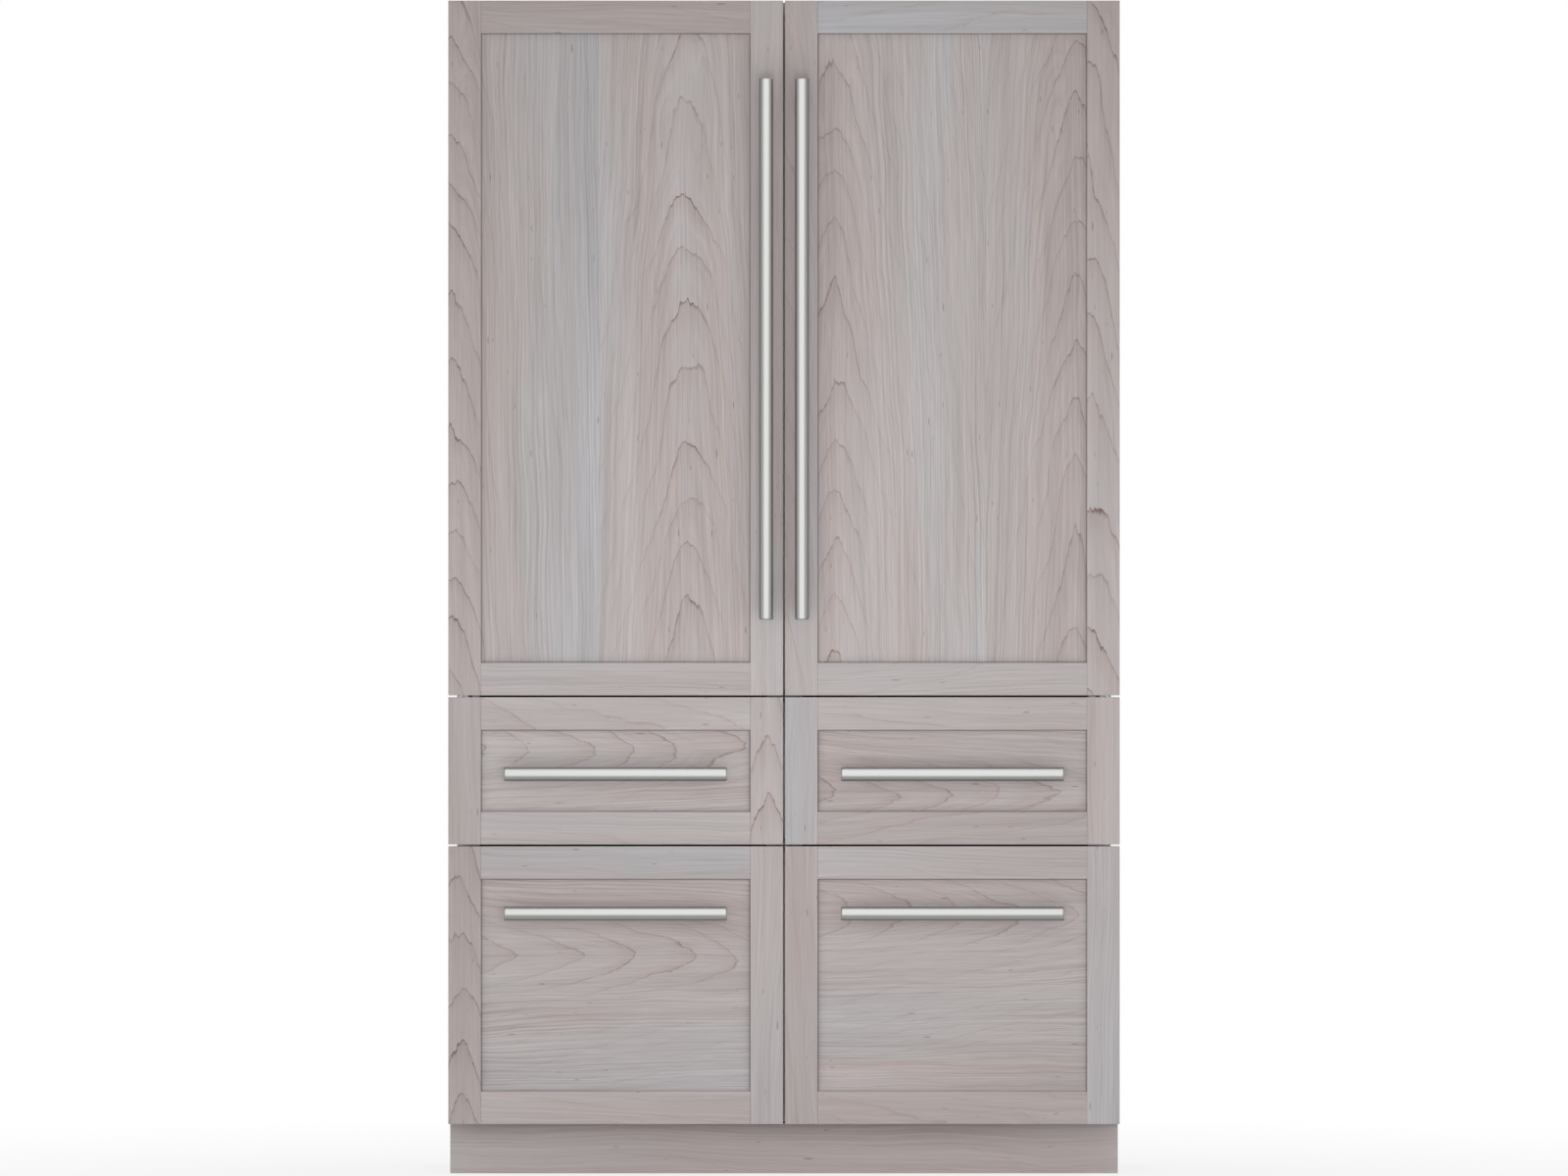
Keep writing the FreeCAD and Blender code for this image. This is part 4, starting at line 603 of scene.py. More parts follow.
def washed_maple(colors, sizes):
    """Grey-washed maple. Streaks follow the distance from the tree's heart, sqrt(side^2 + depth^2), which
    grows with the taper along the board and sways with slow noise. Ring lines follow pointed arches,
    (reach^p + depth^p)^(1/p) with reach a share of side, which grow with the taper too and bend with slow and
    jagged noise. Each ring pitch ends in a dark line of even width with a blush before it, strong where the
    board is sawn flat to the rings. Broad and cloudy noise moves tone and tint. Shade is painted into the
    colour round a panel: a dark line and a soft darkening in its recess, fainter along the bottom edge, as
    under light from above."""
    material = bpy.data.materials.new("washed_maple")
    g = Graph(material)
    along, across, depth = g.attribute("grain")
    heart_across, heart_depth, taper = g.attribute("tree")
    seed, blue, tone = g.attribute("board")
    from_left, from_right, from_sill = g.attribute("sides")
    from_top, contrast, edging = g.attribute("finish")

    def pattern(name, over=across):
        """Noise of a named pattern, over the board's width or another coordinate that runs across it."""
        rule = MAPLE_PATTERNS[name]
        place = g.stretched(g.join(along, over, depth), (rule.along, rule.across, rule.depth))
        return g.noise(place, detail=rule.detail, roughness=rule.roughness, seed=g.plus(seed, rule.shift))

    def spanned(name, value):
        """A measure turned into another by a named span."""
        return g.span(value, *MAPLE_SPANS[name])

    sway = pattern("sway")
    waver, jag = g.centred(sway), g.centred(pattern("jag"))
    side = g.minus(across, heart_across)
    distance = g.root(g.plus(g.times(side, side), g.times(heart_depth, heart_depth)))
    steep = g.over(g.absolute(side), distance)
    flat_sawn = spanned("flat_sawn", steep)

    rise = g.times(taper, along, spanned("rise", steep))
    ringed = pattern("ringed", g.plus(distance, rise, depth, g.times(waver, STREAK_SWAY)))
    wander = g.plus(across, g.times(sway, FIBRE_SWAY))
    calm = spanned("calm", pattern("fibred", wander))
    streak = g.plus(g.times(ringed, steep), g.times(calm, g.minus(1.0, steep)))
    pore, cloud = pattern("pore"), g.centred(pattern("cloud"))
    broad = g.centred(pattern("broad", wander))

    reach = g.times(g.absolute(side), ARCH_REACH)
    arch = g.raised(g.plus(g.raised(reach, ARCH_POWER), g.raised(heart_depth, ARCH_POWER)), 1 / ARCH_POWER)
    bent = g.plus(arch, g.times(taper, along), depth, g.times(waver, LINE_SWAY), g.times(jag, LINE_JAG))
    ring = g.over(bent, sizes.ring_pitch)
    fraction = g.math("FRACT", ring)
    slope = g.root(g.plus(g.times(ARCH_FLANK, g.over(reach, arch)), g.times(taper, taper)))
    before_line = g.over(g.times(g.minus(1.0, fraction), sizes.ring_pitch), slope)
    strength = spanned("strength", g.chance(g.plus(g.math("FLOOR", ring), seed)))
    line = g.times(spanned("line", before_line), strength, spanned("patch", pattern("patch")), flat_sawn)
    blush = g.times(g.raised(fraction, BLUSH_POWER), strength, flat_sawn)

    share = g.plus(blue, g.times(cloud, CLOUD_BLUE), g.times(blush, BLUSH_BLUE))
    base = g.mix(g.math("ADD", share, 0.0, clamp=True), opaque(colors.maple_pink), opaque(colors.maple_blue))
    # Painted shade in the recess round a panel: a dark line near its sides and top, a fainter one near its
    # bottom, and a soft darkening further in.
    rim = g.least(from_left, from_right, from_top)
    painted_recess_shade = g.times(
        spanned("rim", rim), spanned("sill", from_sill), spanned("corner", g.least(rim, from_sill)))
    streaks = g.minus(g.plus(streak, g.times(pore, PORE_TONE)), (1 + PORE_TONE) / 2)
    light = g.times(tone, painted_recess_shade, g.plus(
        1.0, g.times(streaks, contrast), g.times(broad, BROAD_TONE), g.times(cloud, CLOUD_TONE),
        g.times(blush, edging, BLUSH_TONE)))
    dark = g.largest(g.times(line, edging), spanned("spots", pattern("fleck")))
    g.set(
        Base_Color=g.mix(dark, g.scaled(base, light), opaque(colors.maple_line)),
        Roughness=g.swing(streak, 0.46, 0.60), Specular_IOR_Level=0.3)
    height = g.plus(streak, g.times(pore, PORE_HEIGHT), g.times(line, LINE_HEIGHT))
    g.bump(height, distance=0.00015, strength=0.6)
    return material


def brushed_bar(colors):
    """Satin steel brushed along a bar: noise drawn out along the bar moves tone and roughness a little."""
    material = bpy.data.materials.new("satin_bar_steel")
    g = Graph(material)
    along, around, out = g.attribute("brush")
    lines = g.noise(g.join(g.times(along, 9.0), g.times(around, 900.0), out), detail=3.0, roughness=0.6)
    g.set(
        Base_Color=g.mix(lines, *shades(colors.bar_steel, dark=0.93, light=1.05)),
        Metallic=1.0, Roughness=g.swing(lines, 0.28, 0.36))
    g.bump(lines, distance=0.00003, strength=0.4)
    return material


def grained(name, color, **shader):
    """A finish with fine grain, by its row in the table: noise on the object's own coordinates moves tone,
    roughness and height, drawn out along an axis as brushing or rolling does."""
    finish = FINISHES[name]
    material = bpy.data.materials.new(name)
    g = Graph(material)
    rates = [finish.grain * stretch for stretch in finish.stretch]
    fine = g.noise(g.stretched(g.place(), rates), detail=3.0, roughness=0.6)
    broad = g.noise(g.place(), scale=3.0)
    tone = g.plus(g.times(fine, 0.7), g.times(broad, 0.3))
    g.set(
        Base_Color=g.mix(g.swing(tone, 0.0, 1.0), *shades(color, 1 - finish.spread, 1 + finish.spread)),
        Roughness=g.swing(fine, finish.smooth, finish.rough), **shader)
    if finish.height:
        g.bump(fine, distance=finish.height, strength=0.5)
    return material


def jointed_paint(name, color, axis, *places):
    """Painted sheet with narrow joints: a line is drawn where the object's coordinate along an axis is near
    one of the given places. Fine noise is the peel of the paint."""
    material = bpy.data.materials.new(name)
    g = Graph(material)
    coordinate = g.split(g.place())[axis]
    peel = g.noise(g.place(), scale=420.0, detail=3.0, roughness=0.6)
    broad = g.noise(g.place(), scale=3.0)
    offs = [g.absolute(g.minus(coordinate, place)) for place in places]
    core, edge = 0.0005, 0.0012
    joint = g.largest(0.0, *(g.span(off, core, edge, 1.0, 0.0) for off in offs))
    tone = g.swing(g.plus(g.times(peel, 0.6), g.times(broad, 0.4)), 0.0, 1.0)
    sheet = g.mix(tone, *shades(color, dark=0.96, light=1.04))
    g.set(
        Base_Color=g.scaled(sheet, g.span(joint, 0.0, 1.0, 1.0, 0.45)),
        Roughness=g.swing(peel, 0.38, 0.48), Coat_Weight=0.1)
    g.bump(g.plus(g.times(peel, 0.1), g.times(joint, -1.0)), distance=0.0008, strength=0.5)
    return material


def mullion_strips_painted_shade():
    """Bars between the drawers painted near black, painted shade that makes the gaps between the fronts read
    dark, and a pale upright one: the distance from the centre line picks the bar, and fine noise moves the
    tone."""
    material = bpy.data.materials.new("mullion_metal")
    g = Graph(material)
    x, _, _ = g.split(g.place())
    fine = g.noise(g.place(), scale=320.0, detail=3.0)
    half_width, blur = 0.0321, 0.0002
    upright = g.span(g.absolute(x), half_width, half_width + blur, 1.0, 0.0)
    # The bars between the drawers are painted near black: painted shade that makes the gaps between the
    # fronts read as deep shadow.
    dark = g.mix(fine, opaque(linear(20, 20, 21)), opaque(linear(28, 27, 27)))
    pale = g.mix(fine, opaque(linear(196, 196, 194)), opaque(linear(206, 206, 204)))
    g.set(
        Base_Color=g.mix(upright, dark, pale), Roughness=g.swing(fine, 0.5, 0.62), Specular_IOR_Level=0.2)
    g.bump(fine, distance=0.00003, strength=0.5)
    return material


def cellular_foam():
    """Cream foam: cells of a Voronoi pattern give pits and tone."""
    material = bpy.data.materials.new("cream_foam")
    g = Graph(material)
    cell = g.cells(g.place(), 260.0)
    tone = g.span(cell, 0.0, 0.8, 0.0, 1.0)
    g.set(
        Base_Color=g.mix(tone, opaque(linear(196, 178, 128)), opaque(linear(226, 210, 164))), Roughness=0.9)
    g.bump(cell, distance=0.0006, strength=0.6)
    return material


def clear_sheet(name, color, roughness, grain, **shader):
    """Glass or clear plastic: faint waves in the surface, with the tint in the body."""
    material = bpy.data.materials.new(name)
    g = Graph(material)
    wave = g.noise(g.place(), scale=grain)
    g.set(
        Base_Color=opaque(color), Transmission_Weight=1.0,
        Roughness=g.swing(wave, roughness * 0.8, roughness * 1.2), **shader)
    g.bump(wave, distance=0.00005, strength=0.3)
    return material


def touch_glass(box):
    """Dark glass with a row of touch dots: X is cut into steps, and a dot is drawn where the distance from
    the middle of a step, and from the middle of the strip, is small."""
    material = bpy.data.materials.new("control_glass")
    g = Graph(material)
    low, high = box
    x, y, _ = g.split(g.place())
    step, dot_radius, row_end, blur = 0.04, 0.0022, 0.1195, 0.0005
    along = g.times(g.centred(g.math("FRACT", g.over(x, step))), step)
    across = g.minus(y, float(low[1] + high[1]) / 2)
    off = g.root(g.plus(g.times(along, along), g.times(across, across)))
    dot = g.times(
        g.span(off, dot_radius, dot_radius + blur, 1.0, 0.0),
        g.span(g.absolute(x), row_end, row_end + 2 * blur, 1.0, 0.0))
    haze = g.noise(g.place(), scale=160.0)
    glass = g.mix(haze, opaque(linear(18, 18, 21)), opaque(linear(27, 27, 30)))
    g.set(
        Base_Color=g.mix(dot, glass, opaque(linear(214, 220, 226))),
        Roughness=g.swing(haze, 0.06, 0.12), Coat_Weight=1.0)
    return material


def dress(material, *names):
    """Give CAD nodes a material."""
    for name in names:
        mesh = NODES[name].data
        mesh.materials.clear()
        mesh.materials.append(material)


def settle(piece, material, body, slot, *replaced):
    """Finish a new piece: its material, body and the nodes that it stands for. The slot argument is not used.
    """
    piece.data.materials.append(material)
    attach(piece, body)
    if replaced:
        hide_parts(*replaced)


def corners(node):
    """Lowest and highest corner of a node as arrays."""
    return tuple(np.array(corner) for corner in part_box(node))


class REFRIGERATOR_OT_shaker_fronts(bpy.types.Operator):
    """Build the six wooden fronts: stiles, rails and glued panels with their own grain"""

    bl_idname = "refrigerator.shaker_fronts"
    bl_label = "Shaker fronts"

    def execute(self, context):
        sizes, colors = settings(context)
        maple = washed_maple(colors, sizes)
        for number, front in enumerate(FRONTS):
            node = f"{front}_wood_front"
            seed = SEED_STEP * number
            shells = Shells()
            self.add_frame(shells, sizes, front, corners(node), seed + FRAME_SEED)
            self.add_panel(shells, sizes, front, corners(node), seed + PANEL_SEED)
            settle(shells.build(f"{front}_shaker_front"), maple, body_name(front), "maple_fronts", node)
        return {"FINISHED"}

    @staticmethod
    def add_frame(shells, sizes, front, box, seed):
        """Two stiles the full height of the front and two rails between them. A stile that holds the heart of
        its tree shows a flame."""
        low, high = box
        width = sizes.stile_width
        outline = frame_outline(sizes, high[1] - low[1])
        boards = FRAME_BOARDS[front]
        for order, name in enumerate(("outer", "inner")):
            at_low = ("left" in front) == (name == "outer")
            part = (low, np.array((low[0] + width, high[1], high[2])))
            if not at_low:
                part = (np.array((high[0] - width, low[1], low[2])), high)
            holds_heart = abs(boards[name].heart_across) < MILLIMETRES * width / 2
            add_board(
                shells, outline, part, True, not at_low, boards[name], seed + order, sizes.edge_ease,
                "flame" if holds_heart else "frame")
        for order, name in enumerate(("low", "high")):
            base = low[2] if name == "low" else high[2] - width
            part = (np.array((low[0] + width, low[1], base)),
                    np.array((high[0] - width, high[1], base + width)))
            add_board(
                shells, outline, part, False, name == "high", boards[name], seed + 2 + order,
                sizes.edge_ease, "frame")

    @staticmethod
    def add_panel(shells, sizes, front, box, seed):
        """Staves side by side, tongued into the frame all round."""
        low, high = box
        upright = front in DOORS
        tongue = sizes.stile_width - sizes.groove_depth + sizes.groove_play
        face = low[1] + sizes.panel_recess
        start = np.array((low[0] + tongue, face, low[2] + tongue))
        stop = np.array((high[0] - tongue, face + sizes.panel_thickness, high[2] - tongue))
        width = np.array((sizes.stile_width, 0, sizes.stile_width))
        opening = (low + width, high - width)
        across = AXIS_X if upright else AXIS_Z
        for order, (first, last, board) in enumerate(PANEL_STAVES[front]):
            part = (start + across * (stop - start) * first, stop - across * (stop - start) * (1 - last))
            outline = slab_outline(float(across @ (part[1] - part[0])), sizes.panel_thickness)
            add_board(
                shells, outline, part, upright, False, board, seed + order, sizes.groove_play,
                "door" if upright else "drawer", opening)


class REFRIGERATOR_OT_toe_board(bpy.types.Operator):
    """Build the wooden board under the fronts"""

    bl_idname = "refrigerator.toe_board"
    bl_label = "Toe board"

    def execute(self, context):
        sizes, _ = settings(context)
        low, high = corners("toe_kick")
        shells = Shells()
        outline = eased_outline(high[2] - low[2], high[1] - low[1], sizes.edge_ease)
        add_board(shells, outline, (low, high), False, False, TOE_BOARD, TOE_SEED, sizes.edge_ease, "toe")
        maple = bpy.data.materials["washed_maple"]
        settle(shells.build("toe_board"), maple, "cabinet", "toe_board", "toe_kick")
        return {"FINISHED"}


class REFRIGERATOR_OT_bar_handles(bpy.types.Operator):
    """Build the six round handles with chamfered ends on two posts each"""

    bl_idname = "refrigerator.bar_handles"
    bl_label = "Bar handles"

    around = 64

    def execute(self, context):
        sizes, colors = settings(context)
        steel = brushed_bar(colors)
        for front in FRONTS:
            node = f"{front}_handle"
            low, high = corners(node)
            runs, level = (AXIS_Z, AXIS_X) if front in DOORS else (AXIS_X, AXIS_Z)
            span = float(runs @ (high - low))
            middle = (low + high) / 2
            middle[1] = low[1] + sizes.bar_radius
            shells = Shells()
            self.add_bar(shells, sizes, middle, runs, level, span)
            for sign in (-1, 1):
                reach = sign * (span / 2 - sizes.post_inset)
                self.add_post(shells, sizes, middle + reach * runs, runs, level, high[1])
            settle(shells.build(f"{front}_bar_handle"), steel, body_name(front), "satin_steel", node)
        return {"FINISHED"}

    def add_bar(self, shells, sizes, middle, runs, level, span):
        """A circle carried along the bar: radius(t) is full between the chamfers and smaller at both ends."""
        cut = sizes.bar_chamfer
        steps = np.array((0.0, 0.35, 1.0, 2.0)) * cut
        radius = sizes.bar_radius - cut * np.array((1.0, 0.55, 0.0, 0.0))
        places = np.concatenate([steps, span - steps[::-1]]) - span / 2
        radius = np.concatenate([radius, radius[::-1]])
        angle = round_angles(self.around)
        circle = turned(angle, level, -AXIS_Y)
        loops = middle + places[:, None, None] * runs + radius[:, None, None] * circle
        shells.add(loops, brush=points_from(places[:, None], sizes.bar_radius * angle, radius[:, None]))

    def add_post(self, shells, sizes, foot, runs, level, seat):
        """A circle carried from the bar to the seat: the first loop lies in the bar's own cylinder, at depth
        sqrt(R^2 - (r cos)^2) less a little, and the last widens to a small foot ring on the wood."""
        sunk, ring = 0.0003, 0.0012
        angle = round_angles(self.around)
        side = sizes.post_radius * np.cos(angle)
        saddle = foot[1] + np.sqrt(sizes.bar_radius ** 2 - side ** 2) - sunk
        steps = np.array((0.0, 1.0, 1.0, 1.0, 1.0))
        drops = np.array((0.0, 2.2, 0.9, 0.25, 0.0)) * ring
        radius = np.array((0.0, 0.0, 0.25, 0.8, 1.0)) * ring + sizes.post_radius
        depth = saddle[None, :] * (1 - steps[:, None]) + (seat - drops[:, None]) * steps[:, None]
        circle = turned(angle, level, runs)
        base = foot - foot[1] * AXIS_Y
        loops = base + radius[:, None, None] * circle + depth[..., None] * AXIS_Y
        shells.add(loops, brush=points_from(depth, sizes.post_radius * angle, radius[:, None]))


class REFRIGERATOR_OT_leaf_seals(bpy.types.Operator):
    """Build the folded rubber seals behind the doors and drawers"""

    bl_idname = "refrigerator.leaf_seals"
    bl_label = "Leaf seals"

    around = 48

    def execute(self, context):
        sizes, colors = settings(context)
        rubber = grained("seal_rubber", colors.seal_gray, Specular_IOR_Level=0.3)
        for front in FRONTS:
            node = f"{front}_gasket"
            shells = Shells()
            self.add_seal(shells, corners(node), sizes)
            self.add_lip(shells, front, corners(f"{front}_leaf"), sizes)
            settle(shells.build(f"{front}_seal"), rubber, body_name(front), "seal_rubber", node)
        return {"FINISHED"}

    @staticmethod
    def add_lip(shells, front, leaf, sizes):
        """A lip from the leaf's inner edge towards the middle gap, just behind the wood: a strip that bows by
        a half sine and thins from its root to its tip, carried up the edge of the leaf."""
        half_root, thinning, rise, behind, bite, end_room = 0.0015, 0.55, 0.0012, 0.0022, 0.0005, 0.001
        low, high = leaf
        side = -1 if "left" in front else 1
        root = min(abs(low[0]), abs(high[0]))
        reach = root - sizes.lip_gap / 2
        share = np.linspace(0, 1, 9)
        thick = half_root * (1 - thinning * share)
        bow = rise * np.sin(math.pi * share)
        back = low[1] + behind
        out = root + bite - (reach + bite) * share
        outward = np.stack([out, back + bow - thick], axis=-1)
        inward = np.stack([out, back + bow + thick], axis=-1)
        outline = np.concatenate([outward, inward[::-1]])
        places = np.array((low[2] + end_room, high[2] - end_room))
        loops = points_from(side * outline[:, 0], outline[:, 1], places[:, None])
        shells.add(loops, smooth_under=0.004)

    def add_seal(self, shells, box, sizes):
        """A folded profile carried round a rounded rectangle: across is a rounded box whose sides swell three
        times over the depth, and each profile point goes round the rectangle drawn in by its across."""
        depth_power, across_power, swelling, folds, inner_corner = 0.45, 0.4, 0.07, 3, 0.002
        low, high = box
        half, middle = (high - low) / 2, (high + low) / 2
        angle = round_angles(self.around)
        inward = half[1] * (1 + np.abs(np.sin(angle)) ** depth_power * np.sign(np.sin(angle)))
        flat = np.abs(np.cos(angle)) ** across_power * np.sign(np.cos(angle))
        swell = 1 - swelling + swelling * np.cos(folds * FULL_TURN * inward / (2 * half[1]))
        share = (1 + swell * flat) / 2
        width = sizes.seal_width
        outer = rounded_rectangle(half[0], half[2], sizes.seal_corner)
        inner = rounded_rectangle(half[0] - width, half[2] - width, inner_corner)
        ring = outer[:, None, :] * (1 - share[None, :, None]) + inner[:, None, :] * share[None, :, None]
        loops = points_from(middle[0] + ring[..., 0], low[1] + inward, middle[2] + ring[..., 1])
        shells.add(loops, closed=True)


class REFRIGERATOR_OT_door_bins(bpy.types.Operator):
    """Build the clear moulded bins inside the doors"""

    bl_idname = "refrigerator.door_bins"
    bl_label = "Door bins"

    count = 4

    def execute(self, context):
        sizes, _ = settings(context)
        clear = clear_sheet(
            "clear_bin_plastic", linear(252, 253, 254), roughness=0.06, grain=30.0, IOR=1.1, Coat_Weight=0.6)
        openings = frame["record"]["physics"]["openings"]
        for door in DOORS:
            node = f"{door}_bins"
            boxes = [o["box_m"] for o in openings if o["name"].startswith(f"{door}_bin_")]
            if len(boxes) != self.count:
                raise RuntimeError(f"{node} has {len(boxes)} bins")
            low, high = corners(node)
            bases = np.array([box[0][2] for box in boxes])
            bases = low[2] + bases - bases.min()
            rim = float(high[2] - low[2]) - (bases.max() - bases.min())
            shells = Shells()
            for base in bases:
                shells.add(self.tub(low, high, base, rim, sizes))
            settle(shells.build(f"{door}_moulded_bins"), clear, door, "bin_clear", node)
        return {"FINISHED"}

    @staticmethod
    def tub(low, high, base, rim, sizes):
        """Rounded rectangles stacked up the outside, over a round rim and down the inside: each station
        gives, in half walls, how far the rectangle is drawn in and how high it lies over the base or rim."""
        drawn = np.array((5.0, 2.2, 0.6, 0.0, 0.0, 0.3, 1.0, 1.7, 2.0, 2.0, 2.6, 4.2, 7.0))
        lifts = np.array((0.0, 0.25, 1.2, 3.0, -1.0, -0.3, 0.0, -0.3, -1.0, 5.0, 3.2, 2.25, 2.0))
        from_rim = np.array((0, 0, 0, 0, 1, 1, 1, 1, 1, 0, 0, 0, 0))
        least_corner = 0.002
        insets = drawn * sizes.bin_wall / 2
        heights = base + lifts * sizes.bin_wall / 2 + from_rim * rim
        half, middle = (high - low) / 2, (high + low) / 2
        rings = np.stack([
            rounded_rectangle(half[0] - by, half[1] - by, max(sizes.bin_corner - by, least_corner))
            for by in insets])
        return points_from(middle[0] + rings[..., 0], middle[1] + rings[..., 1], heights[:, None])


class REFRIGERATOR_OT_shelf_trims(bpy.types.Operator):
    """Build the metal trims on the front edges of the glass shelves"""

    bl_idname = "refrigerator.shelf_trims"
    bl_label = "Shelf trims"

    def execute(self, context):
        sizes, _ = settings(context)
        metal = grained("trim_aluminium", linear(205, 206, 207), Metallic=1.0)
        mesh = NODES["glass_shelves"].data
        points = np.empty(3 * len(mesh.vertices))
        mesh.vertices.foreach_get("co", points)
        points = points.reshape(-1, 3)
        front = points[:, 1].min()
        levels = np.unique(points[:, 2].round(4)).reshape(-1, 2)
        shells = Shells()
        for low, high in levels:
            for side in (-1, 1):
                shelf = points[points[:, 0] * side > 0][:, 0]
                start, stop = shelf.min() + sizes.trim_reach, shelf.max() - sizes.trim_reach
                shells.add(self.channel(sizes, front, low, high, start, stop), smooth_under=0.002)
        settle(shells.build("shelf_trims"), metal, "cabinet", "satin_steel")
        return {"FINISHED"}

    @staticmethod
    def channel(sizes, front, low, high, start, stop):
        """A U-shaped outline carried along X: round at the two front corners, open to the glass at the back.
        It draws in a little at both ends."""
        play, end, end_share = 0.00005, 0.0004, 0.97
        wall = sizes.trim_wall
        back, inside, bottom, top = front + sizes.trim_reach, front - play, low - wall, high + wall
        outline = np.concatenate([
            arc((front, high), wall, 90, 180), arc((front, low), wall, 180, 270),
            [(back, bottom), (back, low - play), (inside, low - play),
             (inside, high + play), (back, high + play), (back, top)]])
        places = np.array((start, start + end, stop - end, stop))
        middle = np.array((front, (low + high) / 2))
        loops = middle + (outline - middle) * np.array((end_share, 1.0, 1.0, end_share))[:, None, None]
        return points_from(places[:, None], loops[..., 0], loops[..., 1])


class REFRIGERATOR_OT_back_screws(bpy.types.Operator):
    """Build the screws that hold the back and its machine cover"""

    bl_idname = "refrigerator.back_screws"
    bl_label = "Back screws"

    around = 12
    columns, upper_rows, lower_rows = 7, 9, 3

    def execute(self, context):
        sizes, colors = settings(context)
        steel = grained("screw_steel", colors.zinc, Metallic=1.0)
        low, high = corners("back_panel")
        left, right = low[0] + sizes.hem, high[0] - sizes.hem
        bottom, top = low[2] + sizes.hem, high[2] - sizes.hem
        under, over = sizes.cover_height - sizes.hem, sizes.cover_height + sizes.hem
        upward = np.linspace(over, top, self.upper_rows)[1:-1]
        lower = np.linspace(bottom, under, self.lower_rows)[:-1]
        rows = [(x, z) for z in (top, over, under) for x in np.linspace(left, right, self.columns)]
        edges = [(x, z) for x in (left, right) for z in (*upward, *lower)]
        shells = Shells()
        for x, z in rows + edges:
            shells.add(self.head(sizes, np.array((x, high[1], z))))
        settle(shells.build("back_screws"), steel, "cabinet", "zinc_steel")
        return {"FINISHED"}

    def head(self, sizes, seat):
        """A pan head with a dimple: circles about Y whose radius and height follow the head's profile."""
        radius = sizes.screw_radius * np.array((1.0, 1.0, 0.86, 0.55, 0.42, 0.34))
        height = sizes.screw_radius * np.array((-0.05, 0.22, 0.42, 0.52, 0.50, 0.26))
        circle = turned(round_angles(self.around), AXIS_X, AXIS_Z)
        return seat + radius[:, None, None] * circle + height[:, None, None] * AXIS_Y


class REFRIGERATOR_OT_cabinet_finish(bpy.types.Operator):
    """Paint and plate the cabinet, its leaves, hinges, slides and feet"""

    bl_idname = "refrigerator.cabinet_finish"
    bl_label = "Cabinet finish"

    def execute(self, context):
        sizes, colors = settings(context)
        shell = colors.shell_gray
        low, high = corners("side_panels")
        dress(jointed_paint("side_paint", shell, Y, low[Y] + sizes.hem, high[Y] - sizes.hem), "side_panels")
        low, high = corners("top_panel")
        dress(jointed_paint("top_paint", shell, X, low[X] + sizes.hem, high[X] - sizes.hem), "top_panel")
        dress(jointed_paint("back_paint", shell, Z, sizes.cover_height), "back_panel")
        dress(grained("leaf_skin", colors.leaf_gray), *(f"{front}_leaf" for front in FRONTS))
        dress(grained("black_enamel", colors.enamel_black), "base_frame", "compressor")
        zinc = grained("plated_steel", colors.zinc, Metallic=1.0)
        dress(zinc, "hinge_brackets", "hinge_screws", "cabinet_rails", "leveling_feet", "shelf_supports",
              *(f"{drawer}_middle_slides" for drawer in DRAWERS))
        dress(mullion_strips_painted_shade(), "face_mullions")
        fins = grained("coil_aluminium", linear(190, 193, 196), Metallic=1.0)
        dress(fins, "condenser_coil", "evaporator_coil")
        fan = grained("fan_plastic", linear(52, 53, 56))
        dress(fan, "evaporator_fan", "condenser_fan", "fan_motors")
        dress(cellular_foam(), "cabinet_insulation")
        return {"FINISHED"}


class REFRIGERATOR_OT_interior_finish(bpy.types.Operator):
    """Finish the liners, shelves, drawer boxes, lights and control strip"""

    bl_idname = "refrigerator.interior_finish"
    bl_label = "Interior finish"

    def execute(self, context):
        _, colors = settings(context)
        liner = grained("liner_plastic", colors.liner_white)
        dress(liner, "fridge_liner", "drawer_liners", *(f"{door}_inner_liner" for door in DOORS))
        dress(grained("air_panel_plastic", linear(222, 223, 222)), "air_panel")
        tub = grained("drawer_enamel", linear(224, 226, 227), Coat_Weight=0.15)
        dress(tub, *(f"{drawer}_box" for drawer in DRAWERS))
        glass = clear_sheet("shelf_glass", linear(226, 240, 234), roughness=0.02, grain=12.0)
        dress(glass, "glass_shelves")
        dress(touch_glass(corners("control_panel")), "control_panel")
        lens = grained(
            "light_lens", linear(244, 243, 236), Emission_Color=(1.0, 0.97, 0.9, 1.0), Emission_Strength=0.35)
        dress(lens, "light_strips")
        return {"FINISHED"}


